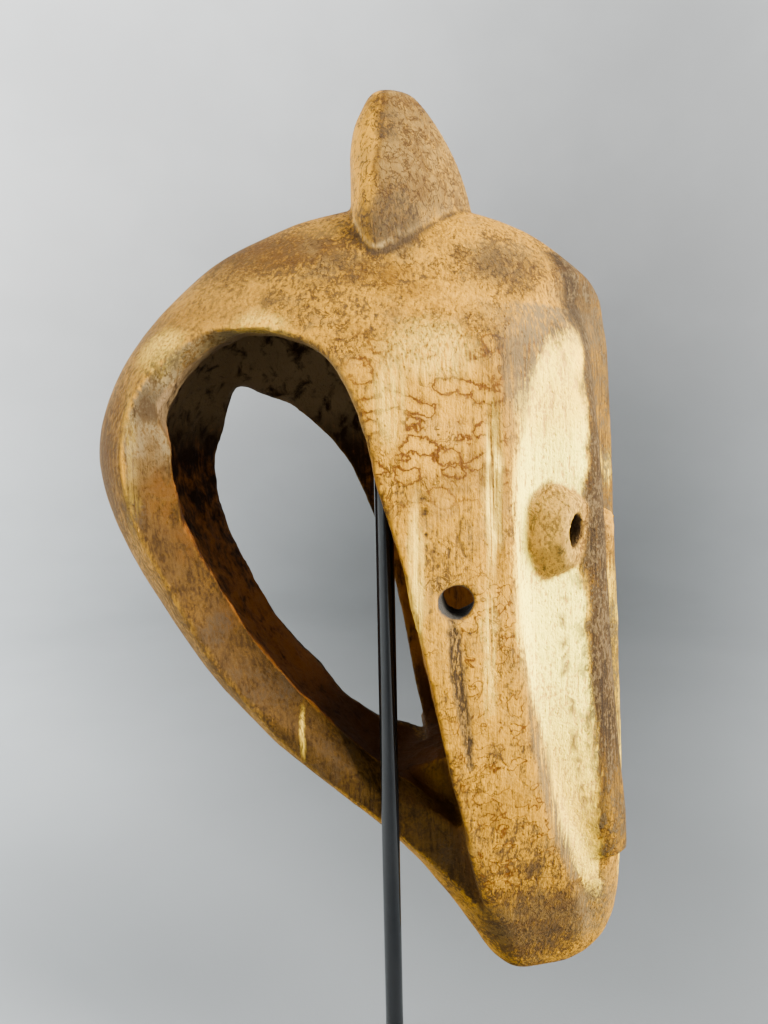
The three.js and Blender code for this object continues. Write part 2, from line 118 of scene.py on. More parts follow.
RIM_START = [(170, 20), (190, 20), (215, 22), (250, 27), (290, 33), (316, 36), (330, 32.5),
             (341, 29), (350, 28)]
RIM_FLARE = [(170, 0.75), (262, 0.75), (300, 1.15), (316, 1.15), (330, 0.9), (341, 0.5),
             (350, 0.5)]
NOSE_HEIGHT = [(92, 0), (120, 4), (148, 7.8), (170, 10.4), (200, 12), (235, 12.6), (250, 13.2),
               (275, 13.2), (300, 12.3), (330, 9), (345, 4.5), (356, 0)]
NOSE_TIP_HEIGHT = [(146, 4.2), (160, 3.5), (185, 1.2), (205, 0)]
NOSE_CREST = [(148, 0.16), (170, 0.15), (205, 0.13), (235, 0.08), (265, 0.04), (350, 0.04)]
NOSE_FOOT = 0.84
HORN_FRONT = [(352, 42), (391, 35), (399, 33), (412, 28), (426, 19.5), (432, 14), (435, 9)]
HORN_REAR = [(352, -8), (394, -10), (409, -10), (420, -8.5), (428, -5), (432, -2.5), (435, 1)]
HORN_CORNER = [(352, 2), (371, 0), (383, -2), (406, 1), (423, 3), (434, 4)]
HORN_HALF_WIDTH = [(352, 28), (372, 28.5), (383, 27.5), (395, 24.5), (410, 18), (425, 11),
                   (431, 7.5), (435, 3.5)]

FACE_ANGLE = math.atan(FACE_SLOPE)
NORMAL_X, NORMAL_Y = math.sin(FACE_ANGLE), math.cos(FACE_ANGLE)


# Curves and noise

def through(knots, at):
    """Smooth curve through (position, value) knots that doesn't overshoot."""
    k = np.asarray(knots, float)
    x, y = k[:, 0], k[:, 1]
    h = np.diff(x)
    d = np.diff(y) / h
    m = np.empty_like(y)
    m[0], m[-1] = d[0], d[-1]
    w1, w2 = 2 * h[1:] + h[:-1], h[1:] + 2 * h[:-1]
    same = d[:-1] * d[1:] > 0
    with np.errstate(divide="ignore", invalid="ignore"):
        mean = (w1 + w2) / (w1 / d[:-1] + w2 / d[1:])
    m[1:-1] = np.where(same, mean, 0)
    t = np.clip(at, x[0], x[-1])
    i = np.clip(np.searchsorted(x, t) - 1, 0, len(x) - 2)
    s = (t - x[i]) / h[i]
    return ((2 * s**3 - 3 * s**2 + 1) * y[i] + (s**3 - 2 * s**2 + s) * h[i] * m[i]
            + (3 * s**2 - 2 * s**3) * y[i + 1] + (s**3 - s**2) * h[i] * m[i + 1])


def closed_curve(points, steps=6):
    """Smooth closed curve through points."""
    p = np.asarray(points, float)
    a, b, c, d = np.roll(p, 1, 0), p, np.roll(p, -1, 0), np.roll(p, -2, 0)
    t = (np.arange(steps) / steps)[None, :, None]
    a, b, c, d = (q[:, None, :] for q in (a, b, c, d))
    curve = 0.5 * (2 * b + (c - a) * t + (2 * a - 5 * b + 4 * c - d) * t**2
                   + (3 * b - a - 3 * c + d) * t**3)
    return curve.reshape(-1, 2)


def distance_to(px, pz, polygon):
    """Signed distance to a closed polygon, negative inside."""
    best = np.full(px.shape, 1e9)
    inside = np.zeros(px.shape, bool)
    for (ax, az), (bx, bz) in zip(polygon, np.roll(polygon, -1, 0)):
        ex, ez = bx - ax, bz - az
        t = np.clip(((px - ax) * ex + (pz - az) * ez) / (ex * ex + ez * ez + 1e-12), 0, 1)
        best = np.minimum(best, (px - ax - t * ex) ** 2 + (pz - az - t * ez) ** 2)
        crosses = (az > pz) != (bz > pz)
        inside ^= crosses & (px < ax + (pz - az) * ex / (ez if ez else 1e-12))
    d = np.sqrt(best)
    return np.where(inside, -d, d)


def soft_min(a, b, k):
    h = np.clip(0.5 + 0.5 * (b - a) / k, 0, 1)
    return b * (1 - h) + a * h - k * h * (1 - h)


def soft_max(a, b, k):
    return -soft_min(-a, -b, k)


def ease(a, b, x):
    t = np.clip((x - a) / (b - a), 0, 1)
    return t * t * (3 - 2 * t)


def band(a, b, c, d, x):
    """Rises from 0 to 1 over a..b and falls again over c..d."""
    return ease(a, b, x) * (1 - ease(c, d, x))


def bell(offset, width):
    return np.exp(-((offset / width) ** 2))


# The eight corners of a cell, in the order that they are added up
CORNERS = list(np.ndindex(2, 2, 2))


def lattice(i, j, k, seed):
    """One random number in 0..1 for each whole-numbered lattice point."""
    u = np.uint32
    h = (i.astype(u) * u(73856093)) ^ (j.astype(u) * u(19349663)) ^ (k.astype(u) * u(83492791))
    h = (h ^ u(seed * 2654435761 % 2**32)) * u(2246822519)
    h = (h ^ (h >> u(13))) * u(3266489917)
    h = h ^ (h >> u(16))
    return h.astype(np.float64) / 4294967295.0


def noise(points, size, seed, octaves=1):
    """Smooth value noise in about -1..1."""
    total, weight = 0.0, 0.0
    for octave in range(octaves):
        q = points / np.asarray(size, float) * 2**octave + 1000
        cell = np.floor(q).astype(np.int64)
        t = q - cell
        t = t * t * (3 - 2 * t)
        value = 0
        for corner in CORNERS:
            wx, wy, wz = np.where(corner, t, 1 - t).T
            value += lattice(*(cell + corner).T, seed + octave) * wx * wy * wz
        total += (2 * value - 1) * 0.5**octave
        weight += 0.5**octave
    return total / weight


def cells(points, size, seed):
    """Distance to the nearest jittered seed, and that cell's number."""
    q = points / np.asarray(size, float) + 1000
    home = np.floor(q).astype(np.int64)
    nearest = np.full(len(q), 9.0)
    tone = np.zeros(len(q))
    for step in np.ndindex(3, 3, 3):
        cell = (home + np.array(step) - 1).T
        away = np.sqrt(sum((cell[axis] + lattice(*cell, seed + axis) - q[:, axis]) ** 2
                           for axis in range(3)))
        tone = np.where(away < nearest, lattice(*cell, seed + 3), tone)
        nearest = np.minimum(nearest, away)
    return nearest, tone


# The carving as a distance field, negative in the wood

STEP = 1.3
AXES = (np.arange(-112, 104, STEP), np.arange(-62, 62 + STEP, STEP), np.arange(84, 441, STEP))


def even_slope(field):
    """The field with its slope brought near 1, as a distance has it."""
    g = np.gradient(field, STEP)
    return field / np.maximum(np.sqrt(g[0] ** 2 + g[1] ** 2 + g[2] ** 2), 0.35)


def face_frame(z):
    """For a height: the ridge's x, the chord from the rim to the ridge."""
    ridge = through(FRONT, z)
    flare = math.tan(CHEEK_FLARE)
    width = through(HALF_WIDTH, z)
    rim = FLARE_START + (FACE_SLOPE * (ridge - FLARE_START) - width) / (FACE_SLOPE - flare)
    return ridge, (ridge - rim) / NORMAL_Y


def face_place(x, ay, z):
    """Height over the plain face, and the share across it: -1 its outer edge, 1 the ridge."""
    ridge, chord = face_frame(z)
    height = NORMAL_X * (x - ridge) + NORMAL_Y * ay
    return height, (NORMAL_Y * (x - ridge) - NORMAL_X * ay + chord / 2) / (chord / 2)


def oval_share(z):
    """Half breadth of the oval that the cheeks are hollowed within, as a share of the face."""
    reach = np.where(z > FACE_MIDDLE, FACE_TOP - FACE_MIDDLE, FACE_MIDDLE - FACE_BOTTOM)
    return 0.97 * np.sqrt(np.clip(1 - np.abs((z - FACE_MIDDLE) / reach) ** 2.6, 0, 1))


def eye_field(x, ay, z, place):
    """An eye's faceted block and its drilled pupil, as two fields."""
    share, tip, turn, half_breadth, half_height, middle = place
    ridge, chord = face_frame(np.array([middle]))
    back = (1 - share) * chord[0]
    px = x - (ridge[0] - back * NORMAL_Y)
    py = ay - back * NORMAL_X
    cos, sin = math.cos(turn), math.sin(turn)
    along = px * cos + py * sin
    across = py * cos - px * sin
    up = z - middle
    out = np.clip((along + 5) / (tip + 5), 0, 1)
    breadth = half_breadth * (1.06 - 0.3 * out)
    height = half_height * (1 - 0.42 * out**1.7)
    block = None
    for angle, reach in EYE_FACETS:
        a = math.radians(angle)
        side = (across * math.cos(a) / breadth + up * math.sin(a) / height) / reach
        block = side if block is None else soft_max(block, side, 0.07)
    block = (block - 1) * half_breadth
    block = soft_max(block, along - tip - 0.06 * up, 1.6)
    block = np.maximum(block, -EYE_DEPTH - along)
    hole = np.sqrt((across / PUPIL_HALF_BREADTH) ** 2 + (up / PUPIL_HALF_HEIGHT) ** 2) - 1
    hole = np.maximum(hole * PUPIL_HALF_BREADTH, tip - PUPIL_DEPTH - along)
    return block, hole


EYE_FACETS = [(90, 1.0), (48, 0.98), (8, 1.0), (-38, 1.0), (-88, 1.0), (-132, 0.94),
              (178, 1.0), (134, 1.02)]
EYES = [(0.305, 11.6, math.radians(40), 11.6, 19.0, EYE_HEIGHT + 0.6),
        (0.69, 9.5, math.radians(14), 9.0, 11.5, EYE_HEIGHT - 3)]


def carve():
    xs, ys, zs = AXES
    grid = np.meshgrid(xs, zs, indexing="ij")
    outline, near_edge, far_edge = (distance_to(*grid, closed_curve(line))[:, None, :]
                                    for line in (OUTLINE, NEAR_OPENING, FAR_OPENING))
    x, y, z = xs[:, None, None], ys[None, :, None], zs[None, None, :]
    ay = np.abs(y)

    width = through(HALF_WIDTH, z)
    rounding = (BACK_ROUNDING + (CROWN_ROUNDING - BACK_ROUNDING)
                * ease(300, 385, z) * ease(-110, -40, x))
    level = np.maximum(0, 1 + outline / rounding)
    body = (np.sqrt((ay / width) ** 2 + level**2) - 1) * SHELL_SCALE
    cheek = (ay - (width - (x - FLARE_START) * math.tan(CHEEK_FLARE))) * math.cos(CHEEK_FLARE)
    wedge, share = face_place(x, ay, z)
    sides = soft_max(body, cheek, 4)
    plain = even_slope(soft_max(sides, wedge, 2))

    # Face relief: hollowed cheeks and the long nose
    inner = oval_share(z) - np.abs(share)
    deep = CHEEK_HOLLOW + LOW_HOLLOW_EXTRA * (1 - ease(170, 230, z))
    recess = deep * (0.6 * ease(0, 0.32, inner) + 0.4 * ease(0, 0.8, inner))
    crest = through(NOSE_CREST, z)
    rise = np.clip((np.abs(share) - crest) / (NOSE_FOOT - crest), 0, 1)
    nose = 1 - (0.75 * ease(0, 1, rise) + 0.25 * rise)
    tip_line = NOSE_TIP_AT + NOSE_TIP_SLOPE * np.clip(wedge, -4, 20)
    tip = (1 - ease(0, 1, (np.abs(share) - crest) / (0.5 - crest))) * ease(-0.8, 0.8, z - tip_line)
    face = (wedge + recess * (1 - nose) - through(NOSE_HEIGHT, z) * nose
            - through(NOSE_TIP_HEIGHT, z) * tip)
    outer = even_slope(soft_max(sides, face, 1.5))

    # Hollow behind the faces
    hollow = soft_max(plain + CHEEK_WALL, wedge + FACE_WALL, 6)
    hollow = soft_max(hollow, HOLLOW_FLOOR - z + HOLLOW_FLOOR_SLOPE * x, 8)
    hollow = soft_max(hollow, outline + CROWN_WALL + LOOP_RIM_EXTRA * (ay / LOOP_RIM_AT) ** 2, 4)

    # Side openings, flared across the loop's rim, and the narrowing towards the chin
    start = through(RIM_START, z)
    loop_side = ease(0, 16, through(OPENING_MIDDLE, z) - x)
    soften = 1.3 + 3.5 * loop_side * (1 - ease(215, 275, z))
    out = np.maximum(0, ay - start) * through(RIM_FLARE, z) * loop_side
    near = soft_max(near_edge - out, y + 12, 1)
    far = soft_max(far_edge - 0.6 * out, 12 - y, 1)
    cheek_edge = np.where(y < 0, through(CHEEK_EDGE, z), through(FAR_CHEEK_EDGE, z))
    relief = soft_max(x - cheek_edge, through(LOOP_HALF_WIDTH, z) - ay, 1.5)

    wood = soft_max(outer, -hollow, 1.5)
    wood = soft_max(wood, -near, soften)
    wood = soft_max(wood, -far, soften)
    wood = soft_max(wood, -relief, 1.5)

    # Horn
    corner = through(HORN_CORNER, z)
    ahead = (x - corner) / (through(HORN_FRONT, z) - corner + 0.01)
    behind = (corner - x) / (corner - through(HORN_REAR, z) + 0.01)
    breadth = ay / through(HORN_HALF_WIDTH, z)
    front = (np.clip(ahead, 0, None) ** 1.5 + breadth**1.5) ** (1 / 1.5)
    back = (np.clip(behind, 0, None) ** 2.2 + breadth**2.2) ** (1 / 2.2)
    horn = (np.where(x > corner, front, back) - 1) * HORN_SCALE
    horn = even_slope(np.maximum(soft_max(horn, z - HORN_CAP, 2.5), HORN_ROOT - z))
    shell = wood
    wood = soft_min(wood, horn, 0.7)

    for place in EYES:
        block, hole = eye_field(x, ay, z, place)
        wood = soft_min(wood, even_slope(block), 0.8)
        wood = soft_max(wood, -hole, 0.7)

    drilled = np.sqrt((x - DRILL_X + (ay - DRILL_Y) * DRILL_SLANT) ** 2 + (z - DRILL_Z) ** 2)
    drilled -= DRILL_RADIUS
    wood = soft_max(wood, -np.maximum(drilled, DRILL_INNER - ay), 0.6)
    layers = {"wood": wood, "outer": outer, "hollow": hollow, "near": near, "far": far,
              "relief": relief, "horn": horn, "shell": shell, "drilled": drilled}
    return {name: (field + 0 * wood).astype(np.float32) for name, field in layers.items()}


def sample(name, points):
    """A layer's field at any points, between the grid's own."""
    place = np.stack([np.clip((points[:, axis] - line[0]) / STEP, 0, len(line) - 1.001)
                      for axis, line in enumerate(AXES)], 1)
    base = place.astype(int)
    value = 0
    for corner in CORNERS:
        wx, wy, wz = np.where(corner, place - base, 1 - (place - base)).T
        value += wx * wy * wz * fields[name][tuple((base + corner).T)]
    return value


def surface_of(field):
    """Surface nets: one point in each cell that the surface passes, and the faces between."""
    inside = field < 0
    shape = tuple(n - 1 for n in field.shape)

    def part(o):
        return tuple(slice(v, n + v) for v, n in zip(o, shape))

    total = np.zeros(shape + (3,), np.float32)
    count = np.zeros(shape, np.float32)
    for axis in range(3):
        for low in CORNERS:
            if low[axis]:
                continue
            high = tuple(1 if a == axis else low[a] for a in range(3))
            f0, f1 = field[part(low)], field[part(high)]
            crossed = (f0 < 0) != (f1 < 0)
            t = np.where(crossed, f0 / np.where(crossed, f0 - f1, 1), 0)
            for b in range(3):
                total[..., b] += np.where(crossed, low[b] + (t if b == axis else 0), 0)
            count += crossed
    active = count > 0
    index = np.full(shape, -1)
    index[active] = np.arange(active.sum())
    origin = np.array([line[0] for line in AXES])
    points = origin + (np.argwhere(active) + total[active] / count[active][:, None]) * STEP
    faces = []
    for axis in range(3):
        b, c = (axis + 1) % 3, (axis + 2) % 3
        edge = np.argwhere(np.diff(inside, axis=axis))
        within = (edge > 0) & (edge < np.array(field.shape) - 1)
        edge = edge[within[:, b] & within[:, c]]
        quad = []
        for ob, oc in ((-1, -1), (0, -1), (0, 0), (-1, 0)):
            cell = edge.copy()
            cell[:, b] += ob
            cell[:, c] += oc
            quad.append(index[tuple(cell.T)])
        quad = np.stack(quad, 1)
        outward = inside[tuple(edge.T)]
        quad[~outward] = quad[~outward][:, ::-1]
        faces.append(quad)
    return points, np.concatenate(faces)


def smooth_piece(name, verts, faces):
    data = bpy.data.meshes.new(name)
    data.from_pydata(verts, [], faces)
    data.update()
    data.polygons.foreach_set("use_smooth", np.ones(len(faces), bool))
    piece = bpy.data.objects.new(name, data)
    bpy.context.collection.objects.link(piece)
    return piece


def read_mesh(mesh):
    points, normals = (np.empty((len(mesh.vertices), 3), np.float32) for _ in range(2))
    mesh.vertices.foreach_get("co", points.ravel())
    mesh.vertex_normals.foreach_get("vector", normals.ravel())
    return points.astype(float), normals.astype(float)


fields = carve()
points, quads = surface_of(fields["wood"])
carving = smooth_piece("mask_carving", points.tolist(), quads.tolist())
mesh = carving.data
mesh.validate()

# Marks on the cheeks as (x, z) points in mm, the same on both sides

CRACK = [(21.5, 250), (22.6, 240), (23.4, 228), (25.4, 215), (27, 203), (27.6, 196)]
GROOVE = [(24.8, 281.5), (24.2, 275), (26, 270), (27.5, 268.5)]
WORM_HOLES = [(12.3, 288.7, 1.1), (12.8, 285.2, 0.7), (12.9, 283.6, 0.8), (13.1, 277, 0.6),
              (16.8, 267, 0.5), (27.5, 243.5, 0.9)]


def along_line(x, z, line):
    """Distance in the side view to an open line, and how far along it from 0 to 1."""
    best, place = np.full(len(x), 1e9), np.zeros(len(x))
    for i, ((ax, az), (bx, bz)) in enumerate(zip(line[:-1], line[1:])):
        ex, ez = bx - ax, bz - az
        t = np.clip(((x - ax) * ex + (z - az) * ez) / (ex * ex + ez * ez), 0, 1)
        d = np.sqrt((x - ax - t * ex) ** 2 + (z - az - t * ez) ** 2)
        place = np.where(d < best, (i + t) / (len(line) - 1), place)
        best = np.minimum(best, d)
    return best, place


def marks(points, normals):
    """The crack, the groove and the worm holes, as 0..1 each."""
    x, y, z = points.T
    outside = ease(0.6, 0.8, np.abs(normals[:, 1])) * (np.sign(y) == np.sign(normals[:, 1]))
    outside *= np.abs(y) > 30
    ragged = noise(points, 2.2, 71, 2)
    d, t = along_line(x + 0.9 * ragged, z, CRACK)
    crack = 1 - ease(0.5, 1.9, d - 1.1 * np.sin(math.pi * np.clip(t + 0.1, 0, 1)))
    d, t = along_line(x + 0.4 * ragged, z, GROOVE)
    groove = 1 - ease(0.2, 1.0, d)
    holes = np.zeros(len(x))
    for at_x, at_z, radius in WORM_HOLES:
        away = np.hypot(x - at_x, z - at_z)
        holes = np.maximum(holes, 1 - ease(radius * 0.6, radius + 0.6, away))
    return crack * outside, groove * outside, holes * outside


def regions(points, slack):
    """Which surface each point is on: inside, on the loop's rim, and the loop as a whole."""
    x, y, z = points.T
    outer = sample("outer", points)
    side_cut = -np.minimum(sample("near", points), sample("far", points))
    relief_cut = -sample("relief", points)
    hollow_cut = -sample("hollow", points)

    def made_by(cut, *others):
        return ease(-slack, slack, cut - np.maximum.reduce([outer, *others]))

    opening = made_by(side_cut, hollow_cut, relief_cut)
    hollow = made_by(hollow_cut, side_cut, relief_cut)
    relief = made_by(relief_cut, side_cut, hollow_cut)
    start = through(RIM_START, z) + 1.8 * noise(points, (9, 9, 14), 81, 2)
    loop_side = ease(-4, 4, through(OPENING_MIDDLE, z) - x)
    tunnel = opening * (1 - ease(-0.6, 0.6, np.abs(y) - start) * loop_side)
    inside = np.clip(hollow + tunnel * (0.25 + 0.75 * loop_side), 0, 1)
    rim = np.clip(opening + relief, 0, 1) * (1 - inside)
    loop = 1 - ease(-20, 15, x + 0.35 * (230 - z) * (z < 230) + 35 * ease(230, 300, z))
    return inside, rim, loop


# Tool marks, dents and cracks, by moving the surface along its normals

points, normals = read_mesh(mesh)
inside, rim, loop = regions(points, 1.0)
rough = np.clip(inside + rim * (0.25 + 0.5 * loop), 0, 1)
away, tone = cells(points, (7, 8, 12), 11)
push = rough * (1.1 * (away**2 - 0.3) + 0.5 * (tone - 0.5))
push += rough * 0.4 * noise(points, 4.0, 31, 2)
away, tone = cells(points, (16, 15, 26), 41)
push += (1 - rough) * 0.35 * (away**2 - 0.35)
push += (1 - rough) * 0.16 * noise(points, 9.0, 51, 3)
crack, groove, holes = marks(points, normals)
ridge, back = face_frame(points[:, 2])
behind = ridge - back * NORMAL_Y - points[:, 0] - 0.6 * noise(points, 14, 65)
channel = bell(behind - 4.5, 1.7) * (np.abs(points[:, 1]) > 36)
push -= 0.6 * channel * band(250, 268, 312, 326, points[:, 2])
push -= crack * (0.5 + 0.5 * noise(points, 1.6, 61, 2)) + 0.5 * groove + 0.9 * holes
points += normals * push[:, None]
mesh.vertices.foreach_set("co", points.astype(np.float32).ravel())
mesh.update()

# Down to under 200,000 triangles

TRIANGLES = 190000
thin = carving.modifiers.new("thin", "DECIMATE")
thin.ratio = min(1, TRIANGLES / (2 * len(quads)))
bpy.context.view_layer.update()
graph = bpy.context.evaluated_depsgraph_get()
thinner = bpy.data.meshes.new_from_object(carving.evaluated_get(graph))
carving.modifiers.clear()
carving.data = thinner
bpy.data.meshes.remove(mesh)
mesh = thinner
mesh.name = "mask_carving"
mesh.polygons.foreach_set("use_smooth", np.ones(len(mesh.polygons), bool))

# What the colours go by, as one number a point

points, normals = read_mesh(mesh)
x, y, z = points.T
side = np.abs(y)

# Patches: (x, distance from the middle plane, z, radius, half height, strength), in mm
GRIME = [
    (-36.7, 33.6, 355, 5, 5, 0.8), (-28, 40, 350, 9, 7, 0.4), (-9.7, 30, 366, 10, 6, 0.55),
    (39.7, 27.7, 367, 9, 7, 0.9), (46, 30, 361, 8, 6, 0.8), (31, 28, 369, 9, 5, 0.5),
    (35.4, 44.8, 343, 8, 7, 0.5), (29.5, 44.8, 346, 4, 4, 0.5), (37, 44, 337, 4, 5, 0.6),
    (-11.3, 49, 338, 8, 7, 0.35), (0, 25.5, 382, 7, 8, 0.85), (7, 25, 388, 6, 7, 0.6),
    (4.2, 14.4, 415.7, 4, 5, 0.8), (16, 6, 424, 6, 6, 0.5), (22, 22, 385, 12, 14, 0.3),
    (52, 26.8, 131.6, 9, 9, 0.75), (43, 23.9, 119.7, 8, 8, 0.6), (65.6, 17.2, 112.3, 11, 9, 0.7),
    (52.7, 32.1, 148.9, 3.5, 4, 0.9), (36.5, 45, 200, 3, 5, 0.7), (-76.5, 41.4, 320.7, 6, 7, 0.9),
    (-83.6, 44.4, 284.6, 5, 6, 0.7), (-59.9, 35.6, 242.7, 6, 6, 0.65),
    (-37.3, 28.1, 217.8, 8, 7, 0.5), (-68, 30, 336, 9, 5, 0.6), (24, 26, 155, 8, 10, 0.4),
    (66, 20, 350, 7, 5, 0.7), (60, 28, 341, 5, 9, 0.5), (30, 38, 150, 5, 12, 0.4),
    (3, 26, 382, 13, 13, 1.0), (6, 26, 386, 9, 12, 0.7), (-20, 34, 362, 12, 7, 0.35),
    (5, 12, 420, 5, 6, 0.6), (58, 26, 112, 16, 12, 0.55), (46, 26, 132, 14, 12, 0.45),
    (44, 30, 366, 16, 9, 0.5), (66, 22, 126, 10, 14, 0.5), (-80, 30, 348, 12, 8, 0.4),
    (-98, 36, 296, 8, 18, 0.4), (-50, 30, 222, 14, 10, 0.45), (-24, 26, 192, 14, 10, 0.4),
    (40, 46, 336, 9, 7, 0.6),
]
STAIN = [
    (-92, 40, 310, 10, 24, 0.45), (-72, 38, 290, 8, 12, 0.95), (-66, 36, 276, 7, 9, 0.9),
    (-54, 33, 247, 5, 6, 0.6), (-36, 20, 374, 26, 8, 0.6), (0, 35, 363, 14, 4, 0.7),
    (8, 44, 358, 12, 4, 0.5), (37, 48, 300, 3, 40, 0.7), (30, 50, 298, 12, 9, 0.6),
    (16, 52, 292, 10, 5, 0.5), (27, 47, 200, 12, 25, 0.4), (40, 40, 178, 10, 12, 0.4),
    (75, 33, 240, 4, 50, 0.5), (-60, 30, 352, 12, 6, 0.45), (70, 20, 300, 6, 40, 0.35),
]
LIGHTER = [
    (30, 48, 262, 12, 40, 0.3), (32, 47, 212, 12, 30, 0.6), (10, 52, 300, 10, 16, 0.25),
    (15, 50, 312, 24, 24, 0.8), (8, 52, 262, 8, 30, 0.3), (45, 46, 270, 12, 40, 0.2),
    (-60, 36, 347, 26, 12, 0.35), (-8, 18, 404, 8, 18, 0.55), (25, 20, 380, 12, 8, 0.4),
    (20, 50, 240, 14, 20, 0.25), (0, 48, 347, 20, 12, 0.1), (66, 24, 318, 16, 30, 0.2),
    (-72, 18, 358, 14, 12, 0.3),
]
DARKER = [
    (-36, 20, 374, 36, 12, 0.6), (-96, 38, 300, 14, 50, 0.45), (-70, 30, 230, 40, 40, 0.3),
    (56, 24, 120, 26, 26, 0.8), (33, 30, 150, 10, 26, 0.45), (42, 28, 368, 17, 12, 0.3),
    (8, 24, 394, 6, 22, 0.6), (9, 21, 398, 8, 20, 0.85), (40, 46, 330, 8, 10, 0.3),
    (-20, 20, 170, 50, 30, 0.12), (46, 36, 155, 14, 15, 0.5), (80, 10, 360, 20, 14, 0.35),
    (68, 25, 128, 16, 18, 0.3), (5, 27, 381, 12, 12, 1.0), (6, 47, 343, 14, 8, 0.2),
    (2, 10, 426, 9, 8, 0.6), (14, 14, 414, 8, 12, 0.3), (70, 31, 150, 8, 12, 0.3),
]
PALE = [
    (35.8, 48, 292, 3.0, 26, 1.0), (34, 49, 235, 2.0, 24, 0.55), (10, 52, 262, 2.5, 26, 0.6),
    (15, 50, 336, 15, 10, 0.3), (-40, 44, 344, 10, 8, 0.45), (-75, 36, 340, 8, 9, 0.4),
    (2, 52, 320, 5, 14, 0.4), (-31, 32.7, 204.5, 0.7, 11, 0.5), (-84, 38, 300, 2.5, 26, 0.15),
    (50, 46, 250, 6, 30, 0.35),
]


def patches(table, seed, hardness=0.45):
    wobble = np.stack([noise(points, 7, seed + i, 3) for i in range(3)], 1)
    total = np.zeros(len(x))
    for at_x, at_y, at_z, radius, height, strength in table:
        px, py, pz = (np.stack([x, side, z], 1) + min(4, 0.4 * radius) * wobble).T
        away = np.sqrt(((px - at_x) / radius) ** 2 + ((py - at_y) / (radius + 6)) ** 2
                       + ((pz - at_z) / height) ** 2)
        total = np.maximum(total, strength * (1 - ease(hardness, 1.35, away)))
    return total


def store(name, values):
    layer = mesh.attributes.new(name, "FLOAT", "POINT")
    layer.data.foreach_set("value", np.clip(values, 0, 1).astype(np.float32))


# Painted shade and dirt: how closed in each point is, to darken the hollows
hollow_shade_and_dirt, stands_out = 0.0, 0.0
for away in (1.5, 3.0, 6.0, 10.0):
    ahead = sample("wood", points + normals * away)
    behind = sample("wood", points - normals * away)
    hollow_shade_and_dirt += np.clip((away - ahead) / away, 0, 1) / 4
    stands_out += np.clip((away + behind) / away, 0, 1) / 4
inside, rim, loop = regions(points, 0.5)
shell = sample("shell", points)
seam = np.sqrt(sample("horn", points) ** 2 + shell**2) + 0.5 * noise(points, 5, 91, 2)
on_horn = ease(0.3, 1.2, shell) * (z > 350)
hole_wall = (1 - ease(0.5, 1.2, np.abs(sample("drilled", points)))) * (side > DRILL_INNER - 1)
hole_wall *= 1 - ease(0.5, 0.8, np.abs(normals[:, 1]))
store("hollow_shade_and_dirt", hollow_shade_and_dirt)
store("stands_out", stands_out)
store("inside", inside)
store("on_rim", rim)
store("rim_outer", ease(3, 9, side - through(RIM_START, z) + noise(points, (7, 7, 16), 191, 3))
      * (0.1 + 0.9 * ease(280, 305, z)))
across_edge = (-np.minimum(sample("near", points), sample("far", points))
               - sample("outer", points) + 0.5 * noise(points, (4, 4, 7), 201, 2))
store("rim_edge", bell(across_edge + 0.4, 0.55) * loop * band(275, 300, 333, 340, z)
      * (1 - inside))
store("on_loop", loop * (1 - on_horn))
store("on_horn", on_horn)
store("hole_wall", hole_wall)
store("seam_dirt", (1 - ease(0.25, 1.0, seam)) * (z > 350))
store("seam_crust", band(0.3, 0.9, 1.2, 2.2, seam) * on_horn * (1 - 0.75 * ease(2, 12, x)))
lightness = 0.5 + 0.5 * (patches(LIGHTER, 151, 0.1) - patches(DARKER, 161, 0.1))
past_corner = x - through(HORN_CORNER, z)
ragged = noise(points, 6, 181, 2)
horn_right = ease(-2, 2.5, past_corner + 1.2 * ragged)
store("lightness", lightness + on_horn * (0.34 - 0.5 * horn_right))
store("horn_right", on_horn * horn_right)
store("horn_edge", on_horn * bell(past_corner + 1.5 * ragged + 0.5, 1.2) * ease(388, 398, z))
eye_block, eye_hole_shade = np.zeros((2, len(x)))
for place in EYES:
    block, hole = eye_field(x, side, z, place)
    eye_block = np.maximum(eye_block, 1 - ease(0.3, 1.0, block))
    eye_hole_shade = np.maximum(eye_hole_shade, (1 - ease(-0.2, 0.9, hole)) * (block < 2))
# Painted shade: the eye blocks' downward faces, laid in with the grime patches
eye_underside_shade = eye_block * ease(0.1, 0.6, -normals[:, 2])
store("grime_and_eye_shade", np.maximum(patches(GRIME, 101), 0.6 * eye_underside_shade))
store("stain", patches(STAIN, 111))
store("pale", patches(PALE, 121))
crack, groove, holes = marks(points, normals)
# Painted shade: the groove, worm holes and eye holes darkened inside
holes = np.maximum(np.maximum(groove * 0.8, holes), eye_hole_shade)
store("crack", crack)

# The groups of rings on the cheeks
on_side = ease(0.75, 0.9, np.abs(normals[:, 1])) * (side > 20) * (1 - inside) * (1 - rim)
lines = ease(-18, -4, x) * band(278, 296, 336, 352, z)
lines = np.maximum(lines, 0.35 * ease(-20, 0, x) * band(286, 296, 360, 372, z))
small = (ease(16, 30, x - 0.12 * (z - 250)) * band(130, 150, 258, 275, z)
         + ease(30, 38, x) * band(318, 326, 348, 356, z))
store("rings", lines * on_side * (1 - on_horn))
store("small_rings", small * on_side * (1 - on_horn))

